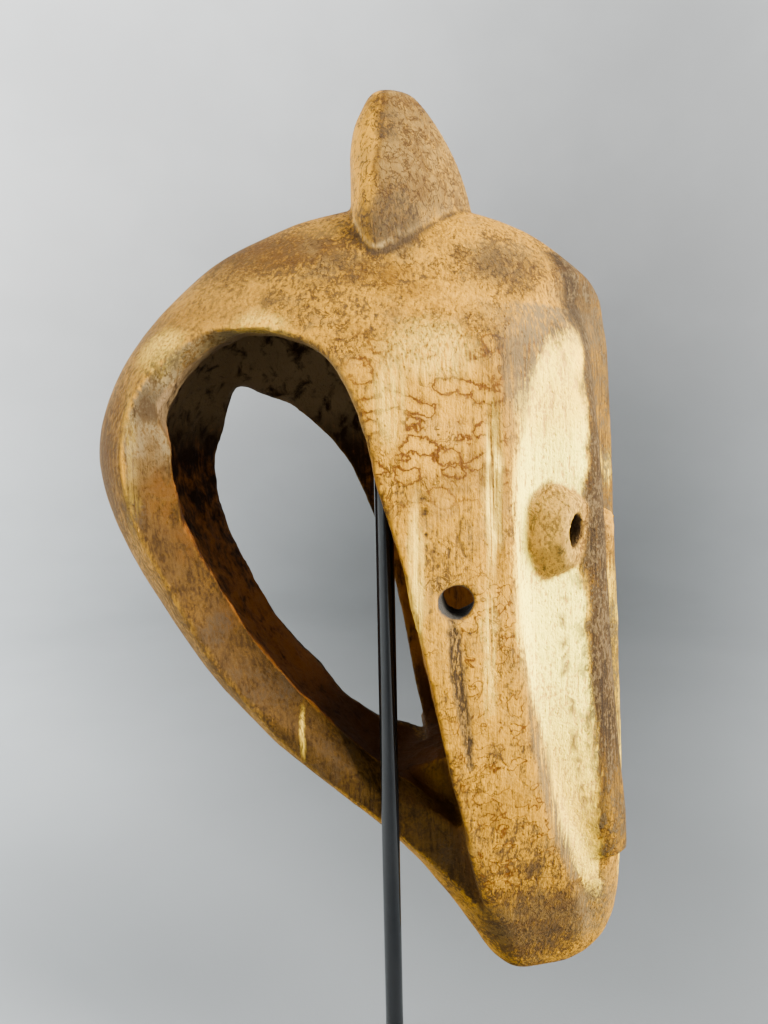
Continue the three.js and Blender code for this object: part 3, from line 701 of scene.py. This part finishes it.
# The whitened faces and the dark crest between them, as edges (z, share of the face)
height, share = face_place(x, side, z)
facing = normals[:, 0] * NORMAL_X + np.abs(normals[:, 1]) * np.sign(y * normals[:, 1]) * NORMAL_Y
on_face = (ease(-9, -7, height) * ease(-1.04, -0.98, share) * ease(30, 50, x)
           * ease(-0.1, 0.15, facing))
CREAM_EDGE = [(142, -0.7), (147, -0.76), (164, -0.8), (185, -0.78), (201, -0.76), (217, -0.84),
              (232, -0.9), (247, -0.99), (267, -0.99), (281, -0.94), (294, -0.92), (307, -0.84),
              (320, -0.74), (330, -0.6), (338, -0.39), (347, 0)]
edge = through(CREAM_EDGE, z)
ragged = 0.05 * noise(points, (3, 3, 16), 131, 2)
cream = ease(-0.12, 0.12, share + 1.5 * ragged - edge)
cream *= ease(-12, 8, z - 134) * (1 - ease(340, 349, z))
DIRT_EDGE = [(153, -0.36), (176, -0.3), (192, -0.27), (215, -0.23), (244, -0.2), (265, -0.24),
             (293, -0.16), (313, -0.08), (327, 0), (341, 0.19), (348, 0.16)]
dirt_from = through(DIRT_EDGE, z) + 0.09 * noise(points, (5, 5, 11), 141, 3)
far_white = np.maximum(bell(z - 295, 6), 1 - ease(252, 264, z))
cream *= 1 - ease(-0.05, 0.08, share - dirt_from) * (1 - 0.6 * ease(0.42, 0.55, share) * far_white)
crest_dirt = (ease(-0.2, 0.14, share - dirt_from) * (1 - 0.35 * ease(0.3, 0.5, share))
              * (0.55 + 0.45 * bell(z - 222, 34) + 0.3 * ease(240, 290, z)))
brushed = ease(-1.02, -0.92, share) * (1 - ease(-0.02, 0.16, share + 2 * ragged - edge))
brushed = np.maximum(brushed, 0.8 * ease(-0.7, -0.4, share) * ease(336, 342, z))
top_edge = bell(oval_share(z) - np.abs(share) - 0.05, 0.07) * ease(285, 300, z)
brushed = np.maximum(brushed, 0.9 * top_edge * (share < 0.3))
brushed *= 0.35 + 0.65 * (1 - ease(200, 225, z)) + 0.65 * ease(300, 325, z)
thin_crack = 1 - ease(0.008, 0.02, np.abs(share + 0.43 + 0.03 * noise(points, (6, 6, 9), 171, 2)))
thin_crack *= band(165, 172, 250, 256, z)
eye_block *= ease(-1.5, 1.0, height)
store("cream", cream * on_face)
chin_side = patches([(80, 18, 122, 10, 18, 0.8), (84, 6, 128, 8, 14, 0.8)], 211)
store("brushed", np.maximum(brushed * on_face * (z > 140) * (z < 352), chin_side))
store("crest_dirt", crest_dirt * on_face * (z > 150))
store("thin_crack", thin_crack * on_face)
store("rim_dirt", patches([(-79, 39, 320, 7, 6, 1.0), (-74, 37, 331, 6, 7, 0.7)], 191))
store("eye_block", eye_block)
store("holes", holes)

mesh.transform(Matrix.Scale(MM, 4))
mesh.update()
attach(carving, "root")
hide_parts("mask")


# Materials

class Nodes:
    """A material's nodes. A wire is an output socket, a plain number or a mark's name."""

    def __init__(self, name):
        self.material = bpy.data.materials.new(name)
        self.material.use_nodes = True
        self.tree = self.material.node_tree
        self.tree.nodes.clear()
        self.place = self.add("ShaderNodeTexCoord", {}, out=3)
        self.colour = (0, 0, 0)

    def add(self, kind, inputs, out=0, **settings):
        node = self.tree.nodes.new(kind)
        for key, value in settings.items():
            setattr(node, key, value)
        for key, value in inputs.items():
            if isinstance(value, str):
                value = self.add("ShaderNodeAttribute", {}, out=2, attribute_name=value)
            if isinstance(value, bpy.types.NodeSocket):
                self.tree.links.new(value, node.inputs[key])
            else:
                node.inputs[key].default_value = value
        return node.outputs[out]

    def math(self, operation, a, b=0.0, clamp=False):
        return self.add("ShaderNodeMath", {0: a, 1: b}, operation=operation, use_clamp=clamp)

    def chain(self, operation, total, *values):
        for value in values:
            total = self.math(operation, total, value)
        return total

    def mul(self, *values):
        return self.chain("MULTIPLY", *values)

    def plus(self, *values):
        return self.chain("ADD", *values)

    def less(self, *values):
        return self.chain("SUBTRACT", *values)

    def most(self, *values):
        return self.chain("MAXIMUM", *values)

    def weighed(self, *parts):
        """Noises added with weights, each measured from its middle value."""
        total = 0.0
        for value, weight in parts:
            total = self.add("ShaderNodeMath", {0: value, 1: weight, 2: total},
                             operation="MULTIPLY_ADD")
        return self.less(total, 0.5 * sum(weight for value, weight in parts))

    def fade(self, value, low, high, to_low=0.0, to_high=1.0):
        return self.add("ShaderNodeMapRange",
                        {"Value": value, "From Min": low, "From Max": high,
                         "To Min": to_low, "To Max": to_high}, interpolation_type="SMOOTHSTEP")

    def ragged(self, mark, gain, limits, *parts):
        """A mark made stronger, less a share that goes by noises."""
        return self.math("ADD", self.mul(mark, gain), self.fade(self.weighed(*parts), *limits),
                         clamp=True)

    def mix(self, amount, a, b):
        a, b = ((*c, 1) if isinstance(c, tuple) else c for c in (a, b))
        return self.add("ShaderNodeMix", {0: amount, 6: a, 7: b}, out=2, data_type="RGBA")

    def blend(self, a, b, limits, *parts):
        """Two tones mixed by noises."""
        return self.mix(self.fade(self.weighed(*parts), *limits), a, b)

    def paint(self, tone, *amounts):
        """A tone laid over the colour so far."""
        self.colour = self.mix(self.mul(*amounts), self.colour, tone)

    def scaled(self, *size):
        """The place divided by a size in mm along each axis."""
        scale = tuple(1 / (MM * v) for v in size)
        return self.add("ShaderNodeMapping", {"Vector": self.place, "Scale": scale})

    def noise(self, size, detail, rough, distortion=0.0, out=0):
        return self.add("ShaderNodeTexNoise",
                        {"Vector": self.scaled(*size), "Scale": 1.0, "Detail": detail,
                         "Roughness": rough, "Distortion": distortion}, out=out)

    def spots(self, vector):
        return self.add("ShaderNodeTexVoronoi", {"Vector": vector, "Scale": 1.0,
                                                 "Randomness": 1.0}, feature="F1")

    def finish(self, roughness, relief, strength, depth, shine):
        bump = self.add("ShaderNodeBump", {"Strength": strength, "Distance": depth,
                                           "Height": relief})
        shader = self.add("ShaderNodeBsdfPrincipled",
                          {"Base Color": self.colour, "Roughness": roughness, "Normal": bump,
                           "Specular IOR Level": shine})
        output = self.tree.nodes.new("ShaderNodeOutputMaterial")
        self.tree.links.new(shader, output.inputs[0])
        return self.material


BASE_DARK = (0.06, 0.031, 0.008)
BASE_BROWN = (0.12, 0.058, 0.006)
BASE_HONEY = (0.28, 0.13, 0.002)
BASE_LIGHT = (0.43, 0.2, 0.003)
TAN = (0.165, 0.096, 0.022)
STAIN_BROWN = (0.06, 0.023, 0.002)
VEIN_BROWN = (0.026, 0.011, 0.003)
GRIME_DARK = (0.028, 0.018, 0.009)
CREAM = (1.0, 0.8, 0.085)
CREAM_YELLOW = (0.8, 0.47, 0.01)
CREAM_SHADE = (0.55, 0.32, 0.04)
BRUSHED = (0.105, 0.07, 0.028)
CREST_DARK = (0.016, 0.01, 0.005)
CREST_BROWN = (0.027, 0.016, 0.007)
INSIDE_DARK = (0.014, 0.005, 0.0008)
INSIDE_BROWN = (0.16, 0.052, 0.006)
INSIDE_GREY = (0.115, 0.072, 0.031)
LOOP_DARK = (0.055, 0.029, 0.007)
LOOP_BROWN = (0.12, 0.061, 0.009)
LOOP_GOLD = (0.25, 0.122, 0.009)
RIM_DARK = (0.014, 0.006, 0.0008)
RIM_BROWN = (0.03, 0.014, 0.003)
RIM_GOLD = (0.05, 0.022, 0.002)
RIM_TAN = (0.062, 0.035, 0.009)
RIM_GREY = (0.1, 0.072, 0.032)
EYE_TAN = (0.25, 0.126, 0.017)
EYE_BROWN = (0.1, 0.047, 0.009)
EYE_LIGHT = (0.38, 0.19, 0.017)
LINE_BROWN = (0.075, 0.025, 0.001)
CRACK_BROWN = (0.12, 0.07, 0.02)
CRACK_DARK = (0.028, 0.016, 0.006)
CRUST = (0.34, 0.22, 0.07)
PALE_WOOD = (0.95, 0.62, 0.06)
HOLLOW_SHADE_BROWN = (0.045, 0.018, 0.003)
SPECK_BROWN = (0.05, 0.022, 0.005)
HOLE_GREY = (0.03, 0.028, 0.024)
HOLE_SHADE = (0.02, 0.012, 0.007)
SEAM_DARK = (0.03, 0.018, 0.008)
STEEL_DARK = (0.0015, 0.002, 0.0025)
STEEL_BLACK = (0.003, 0.0035, 0.004)
DUST = (0.03, 0.03, 0.03)
PAPER_HIGH = (0.97, 1.0, 1.03)
PAPER_LOW = (0.92, 1.0, 1.06)
DAYLIGHT = (1, 0.96, 0.9)
SKYLIGHT = (1, 0.98, 0.95)


def wood_material():
    n = Nodes("wood")
    broad = n.noise((26, 26, 30), 3, 0.55, 0.3)
    mottle = n.noise((6, 6, 9), 5, 0.62, 0.4)
    hue = n.noise((15, 15, 15), 4, 0.6)
    grain = n.noise((1.3, 1.3, 20), 4, 0.62)
    fine = n.noise((1.1, 1.1, 1.7), 4, 0.65)
    streaks = n.noise((0.8, 0.8, 26), 3, 0.55)
    height = n.add("ShaderNodeSeparateXYZ", {"Vector": n.place}, out=2)

    tone = n.plus("lightness", n.weighed((broad, 0.6), (mottle, 0.85), (grain, 1.2), (fine, 1.3)))
    n.colour = BASE_DARK
    n.paint(BASE_BROWN, n.fade(tone, 0.14, 0.44))
    n.paint(BASE_HONEY, n.fade(tone, 0.26, 0.58))
    n.paint(BASE_LIGHT, n.fade(tone, 0.52, 0.92))
    n.paint(TAN, n.fade(hue, 0.5, 0.64, 0.0, 0.35))

    # The horn is greyer on its right side, with a dark line down its corner
    greyer = n.blend(LOOP_BROWN, TAN, (-0.2, 0.12), (fine, 1.0), (mottle, 0.8))
    n.paint(greyer, "horn_right", n.fade(mottle, 0.35, 0.6, 0.3, 0.75))
    n.paint(VEIN_BROWN, "horn_edge", n.fade(mottle, 0.36, 0.52), 0.85)

    # A network of thin brown veins
    net = n.noise((4.5, 4.5, 6), 4, 0.6, 0.6)
    vein = n.fade(n.math("ABSOLUTE", n.less(net, 0.5)), 0.04, 0.006)
    veined = n.fade(n.noise((17, 17, 17), 2, 0.5), 0.46, 0.62)
    veined = n.most(veined, "on_horn", n.fade("grime_and_eye_shade", 0.1, 0.4))
    n.paint(VEIN_BROWN, vein, veined, n.fade(fine, 0.34, 0.46), 0.85)

    # Thin dark lines of old decay round closed patches
    warp = n.noise((4, 4, 4), 3, 0.6, out=1)
    warp = n.add("ShaderNodeVectorMath", {0: warp, 1: (0.5, 0.5, 0.5)}, operation="SUBTRACT")
    warp = n.add("ShaderNodeVectorMath", {0: warp, 3: 0.85}, operation="SCALE")
    away = n.spots(n.add("ShaderNodeVectorMath", {0: n.scaled(10.5, 18, 6.6), 1: warp},
                         operation="ADD"))
    small = n.noise((6.5, 9, 6), 2.5, 0.5, 0.4)
    for kind, value, level, slope in (("rings", away, 0.42, -1.0),
                                      ("small_rings", small, 0.56, 0.2)):
        over = n.math("DIVIDE", n.less(value, level), slope)
        from_line = n.math("ABSOLUTE", over)
        strength = n.mul(kind, n.fade(broad, 0.3, 0.42, 0.6, 1.0))
        width = n.fade(mottle, 0.35, 0.62, 0.05, 0.12)
        line = n.math("SUBTRACT", 1.0, n.math("DIVIDE", from_line, width), clamp=True)
        n.paint(BASE_LIGHT, n.fade(over, 0.0, 0.1), strength, 0.35)
        n.paint(STAIN_BROWN, n.fade(from_line, 0.26, 0.0), strength, 0.4)
        n.paint(LINE_BROWN, n.fade(line, 0.1, 0.8), strength)

    # The loop and its rim are browner and greyer
    loop_tone = n.mix(n.fade(tone, 0.15, 0.5), LOOP_DARK, LOOP_BROWN)
    loop_tone = n.mix(n.fade(tone, 0.42, 0.85), loop_tone, LOOP_GOLD)
    n.paint(loop_tone, "on_loop", n.fade(broad, 0.3, 0.6, 0.6, 0.95))
    rim_tone = n.blend(RIM_DARK, RIM_BROWN, (-0.14, 0.08), (mottle, 1.0), (grain, 0.8))
    rim_tone = n.mix(n.mul(n.fade(hue, 0.46, 0.66), n.fade(fine, 0.4, 0.55)), rim_tone, RIM_GOLD)
    rim_tan = n.blend(RIM_BROWN, RIM_TAN, (-0.2, 0.1), (mottle, 0.8), (fine, 1.2))
    rim_tone = n.mix("rim_outer", rim_tone, rim_tan)
    rim_grey = n.blend(LOOP_DARK, RIM_GREY, (-0.2, 0.06), (mottle, 0.9), (fine, 0.9))
    high_up = n.fade(n.plus(height, n.mul(hue, 0.05)), 0.318, 0.338)
    n.paint(n.mix(high_up, rim_tone, rim_grey), "on_rim", 0.9)
    n.paint(BASE_LIGHT, "rim_edge", n.fade(mottle, 0.36, 0.56, 0.1, 0.8))

    # Pale rubbed streaks and stains
    n.paint(PALE_WOOD, "pale", n.fade(streaks, 0.3, 0.6))
    n.paint(STAIN_BROWN, "stain", n.fade(mottle, 0.36, 0.56), 0.85)

    # The whitened faces, yellower at their ends and edges, and the brushed wood beside them
    cream = n.ragged("cream", 1.8, (-0.16, 0.12, -0.9, 0.0), (mottle, 0.5), (grain, 0.8),
                     (fine, 0.7))
    ends = n.most(n.fade(height, 0.235, 0.17), n.fade(height, 0.298, 0.322),
                  n.fade("cream", 1.0, 0.55))
    cream_tone = n.mix(n.mul(ends, n.fade(broad, 0.3, 0.6, 0.6, 1.0)), CREAM, CREAM_YELLOW)
    cream_tone = n.blend(CREAM_SHADE, cream_tone, (-0.24, 0.04), (grain, 0.9), (broad, 0.5),
                         (fine, 1.1))
    n.paint(cream_tone, cream)
    n.paint(BRUSHED, "brushed", n.fade(streaks, 0.4, 0.52, 0.25, 1.0), 0.9)

    # The dark rubbed crest between the faces
    crest = n.ragged("crest_dirt", 2.0, (-0.1, 0.1, -0.8, 0.0), (mottle, 0.7), (fine, 0.6))
    crest_tone = n.blend(CREST_DARK, CREST_BROWN, (-0.1, 0.12), (mottle, 1.0), (grain, 0.8))
    crest_tone = n.blend(crest_tone, BRUSHED, (0.0, 0.12, 0.0, 0.6), (fine, 1.0), (mottle, 0.6))
    n.paint(crest_tone, crest, 0.95)

    # The eyes, darker in patches on their lower halves, and the thin crack in the whitened face
    eye_tone = n.blend(EYE_BROWN, EYE_TAN, (-0.2, 0.06), (mottle, 1.0), (fine, 1.0))
    eye_tone = n.mix(n.fade(fine, 0.47, 0.63), eye_tone, EYE_LIGHT)
    eye_tone = n.mix(n.mul(vein, n.fade(mottle, 0.48, 0.6), 0.85), eye_tone, VEIN_BROWN)
    # Each eye block darker in patches below its middle
    eye_low_patches = n.fade(n.weighed((mottle, 1.0), (fine, 0.5)), 0.02, 0.2)
    eye_tone = n.mix(n.mul(eye_low_patches, n.fade(height, 0.28, 0.262)), eye_tone, LOOP_DARK)
    n.paint(eye_tone, "eye_block", 0.95)
    n.paint(TAN, "thin_crack", n.fade(fine, 0.34, 0.44))

    # Rubbed grime with painted shade under the eyes, painted shade and dirt in the hollows, and
    # dark specks
    # Grime patches and the painted shade under the eyes
    grime_and_eye_shade = n.ragged("grime_and_eye_shade", 1.5, (-0.14, 0.14, -1.1, 0.2), (mottle, 0.7), (fine, 0.9))
    n.paint(GRIME_DARK, grime_and_eye_shade, 0.75)
    # Painted shade and dirt: dark brown in the hollows, weaker on the whitened faces
    n.paint(HOLLOW_SHADE_BROWN, n.fade("hollow_shade_and_dirt", 0.12, 0.5), n.fade("cream", 0.0, 1.0, 0.65, 0.3))
    specks = n.spots(n.scaled(1.9, 1.9, 2.6))
    gathered = n.fade(n.noise((11, 11, 11), 2, 0.5), 0.5, 0.66)
    bare = n.less(1.0, n.mul("cream", 0.9))
    n.paint(SPECK_BROWN, n.fade(specks, 0.26, 0.14), gathered, bare, 0.7)

    # Inside: dark, with browner gouges low down and greyer at the top
    gouge = n.weighed((mottle, 0.8), (grain, 0.4))
    gouge = n.fade(n.plus(gouge, n.mul(n.fade(height, 0.33, 0.2), 0.3)), 0.0, 0.32)
    inner = n.mix(gouge, INSIDE_DARK, INSIDE_BROWN)
    inner = n.mix(n.mul(n.fade(height, 0.3, 0.325), n.fade(mottle, 0.32, 0.52)), inner,
                  INSIDE_GREY)
    inner = n.mix(n.fade(height, 0.215, 0.195, 0.0, 0.75), inner, INSIDE_DARK)
    n.paint(inner, "inside")
    n.paint(HOLE_GREY, "hole_wall")

    # Cracks, painted shade in the eye holes, worm holes and groove, and the horn's seam
    split = n.fade(n.weighed((mottle, 1.2), (fine, 1.0)), 0.06, -0.08)
    n.paint(CRACK_DARK, "rim_dirt", split, 0.9)
    n.paint(CRACK_BROWN, n.fade("crack", 0.1, 0.7), 0.75)
    n.paint(CRACK_DARK, "crack", n.fade(n.noise((0.9, 0.9, 4.0), 3, 0.7), 0.42, 0.53))
    # Painted shade in the eye holes, worm holes and groove
    n.paint(HOLE_SHADE, "holes", 0.95)
    n.paint(CRUST, "seam_crust", n.fade(mottle, 0.42, 0.56), 0.6)
    n.paint(SEAM_DARK, "seam_dirt", n.fade(mottle, 0.3, 0.45, 0.3, 0.9))

    # Worn, polished edges
    worn = n.mul(n.fade("stands_out", 0.58, 0.85),
                 n.less(1.0, n.mul("on_rim", n.fade(height, 0.3, 0.26))))
    n.paint(BASE_LIGHT, worn, n.fade(mottle, 0.38, 0.56), n.less(1.0, "inside"), 0.6)

    dry = n.most("inside", n.mul("crest_dirt", 0.5))
    roughness = n.plus(n.fade(tone, 0.2, 0.85, 0.62, 0.46), n.mul(dry, 0.2))
    relief = n.weighed((grain, 0.6), (fine, 0.8), (mottle, 0.4))
    relief = n.less(relief, n.mul(n.fade(specks, 0.26, 0.1), 0.3))
    return n.finish(roughness, relief, strength=0.8, depth=0.0011, shine=0.05)


def black_material():
    n = Nodes("black_steel")
    cloud = n.noise((9, 9, 30), 3, 0.6)
    dust = n.noise((0.9, 0.9, 1.4), 2, 0.6)
    n.colour = STEEL_DARK
    n.paint(STEEL_BLACK, n.fade(cloud, 0.35, 0.7))
    n.paint(DUST, n.fade(dust, 0.66, 0.78, 0.0, 0.25))
    roughness = n.plus(n.fade(cloud, 0.3, 0.7, 0.06, 0.1), n.fade(dust, 0.6, 0.75, 0.0, 0.1))
    return n.finish(roughness, cloud, strength=0.12, depth=0.0002, shine=0.34)


def paper_material():
    """Pale paper with painted shade: a painted shadow of the mask in a wide spot behind it, and
    painted shade darker to the right and below.
    """
    n = Nodes("paper")
    cloud = n.noise((260, 260, 260), 3, 0.55)
    tooth = n.noise((1.6, 1.6, 1.6), 2, 0.5)
    x, y, z = (n.add("ShaderNodeSeparateXYZ", {"Vector": n.place}, out=i) for i in range(3))
    depth = n.plus(n.most(y, 0.0), 0.45)
    across = n.math("DIVIDE", x, depth)
    rise = n.math("DIVIDE", n.less(z, 0.31), depth)
    off = n.math("POWER", n.math("DIVIDE", n.less(across, 0.07), 0.86), 2.0)
    up = n.math("POWER", n.math("DIVIDE", n.plus(rise, 0.21), 0.9), 2.0)
    painted_shadow = n.math("EXPONENT", n.mul(n.plus(off, up), -1.0))
    # Painted shade: darker to the right and below, with a painted shadow behind the mask
    shade = n.mul(n.fade(across, -0.14, 0.38, 1.13, 0.62), n.less(1.0, n.mul(painted_shadow, 0.934)),
                  n.fade(rise, -0.2, -0.6, 1.0, 0.56), n.fade(cloud, 0.3, 0.7, 1.04, 0.96))
    tint = n.mix(n.fade(rise, 0.25, -0.2), PAPER_HIGH, PAPER_LOW)
    n.paint(tint, n.math("MINIMUM", shade, 0.8))
    return n.finish(0.9, tooth, strength=0.15, depth=0.0003, shine=0.1)


mesh.materials.append(wood_material())
black = black_material()


# Rod and foot

def circle(radius, z, sides, x=0.0, y=0.0):
    angles = (2 * math.pi * i / sides for i in range(sides))
    return [(x + radius * math.cos(a), y + radius * math.sin(a), z) for a in angles]


def lathe(name, profile, sides, x, y):
    """A closed turned piece from (radius, z) points in mm, first and last on the axis."""
    verts, faces = [(x, y, profile[0][1])], []
    for radius, z in profile[1:-1]:
        verts += circle(radius, z, sides, x, y)
    verts.append((x, y, profile[-1][1]))
    last = len(verts) - 1
    for i in range(sides):
        j = (i + 1) % sides
        faces.append((0, 1 + j, 1 + i))
        for a in range(1, last - sides, sides):
            faces.append((a + i, a + j, a + sides + j, a + sides + i))
        faces.append((last, last - sides + i, last - sides + j))
    return smooth_piece(name, [(a * MM, b * MM, c * MM) for a, b, c in verts], faces)


profile = [(0, ROD_BOTTOM), (ROD_RADIUS - 0.3, ROD_BOTTOM), (ROD_RADIUS, ROD_BOTTOM + 0.3)]
profile += [(ROD_RADIUS, h) for h in np.linspace(8, ROD_TOP - ROD_RADIUS - 0.5, 40)]
profile += [(ROD_RADIUS * math.cos(a), ROD_TOP - ROD_RADIUS * (1 - math.sin(a)))
            for a in np.linspace(0, math.pi / 2, 8)[:-1]]
rod = lathe("rod", profile + [(0, ROD_TOP)], sides=64, x=ROD_X, y=ROD_Y)
rod.data.materials.append(black)
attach(rod, "root")
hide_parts("stand_rod")

for node in bpy.data.objects:
    if node.name.startswith("stand_foot"):
        node.data.materials.clear()
        node.data.materials.append(black)

# Stage, camera and light

FLOOR_SIDES = 48
verts, faces = [], []
profile = [(0.5, 0.0), (1.0, 0.0)]
profile += [(1.0 + 0.9 * math.sin(a), 0.9 * (1 - math.cos(a)))
            for a in np.linspace(0.15, 1.5, 12)]
profile += [(1.9, 2.2), (1.7, 2.9)]
for radius, h in profile:
    verts += circle(radius, h, FLOOR_SIDES)
verts.append((0, 0, 0))
for i in range(FLOOR_SIDES):
    j = (i + 1) % FLOOR_SIDES
    faces.append((len(verts) - 1, i, j))
    for low in range(0, len(verts) - 1 - FLOOR_SIDES, FLOOR_SIDES):
        high = low + FLOOR_SIDES
        faces.append((low + i, high + i, high + j, low + j))
floor = smooth_piece("floor", verts, faces)
floor.data.materials.append(paper_material())

CAMERA_AT = (0.0, -0.295, 0.312)
FOCAL_PIXELS, IMAGE_WIDTH = 760, 768
PITCH = math.radians(6.4)
ROLL = math.radians(1.2)
camera_data = bpy.data.cameras.new("camera")
camera_data.sensor_fit = "HORIZONTAL"
camera_data.sensor_width = 36
camera_data.lens = camera_data.sensor_width * FOCAL_PIXELS / IMAGE_WIDTH
camera = bpy.data.objects.new("camera", camera_data)
bpy.context.collection.objects.link(camera)
camera.matrix_world = (Matrix.Translation(CAMERA_AT)
                       @ Matrix.Rotation(math.pi / 2 - PITCH, 4, "X")
                       @ Matrix.Rotation(-ROLL, 4, "Z"))
bpy.context.scene.camera = camera


def area_light(name, at, towards, size, power, colour):
    data = bpy.data.lights.new(name, "AREA")
    data.shape = "RECTANGLE"
    data.size, data.size_y = size
    data.energy = power
    data.color = colour
    light = bpy.data.objects.new(name, data)
    light.location = at
    light.rotation_euler = (Vector(towards) - Vector(at)).to_track_quat("-Z", "Y").to_euler()
    light.visible_camera = False
    bpy.context.collection.objects.link(light)


area_light("window_left", (-1.2, -0.42, 0.8), (0, 0, 0.27), (0.5, 1.0), 40, DAYLIGHT)
area_light("window_right", (1.15, -0.62, 0.75), (0.03, 0, 0.26), (0.6, 0.9), 150, DAYLIGHT)
area_light("above", (0.1, 0.2, 1.5), (0, 0, 0.2), (1.2, 1.2), 10, SKYLIGHT)

world = bpy.data.worlds.new("studio")
world.use_nodes = True
background = world.node_tree.nodes["Background"].inputs
background[0].default_value = (*SKYLIGHT, 1)
background[1].default_value = 0.7
bpy.context.scene.world = world
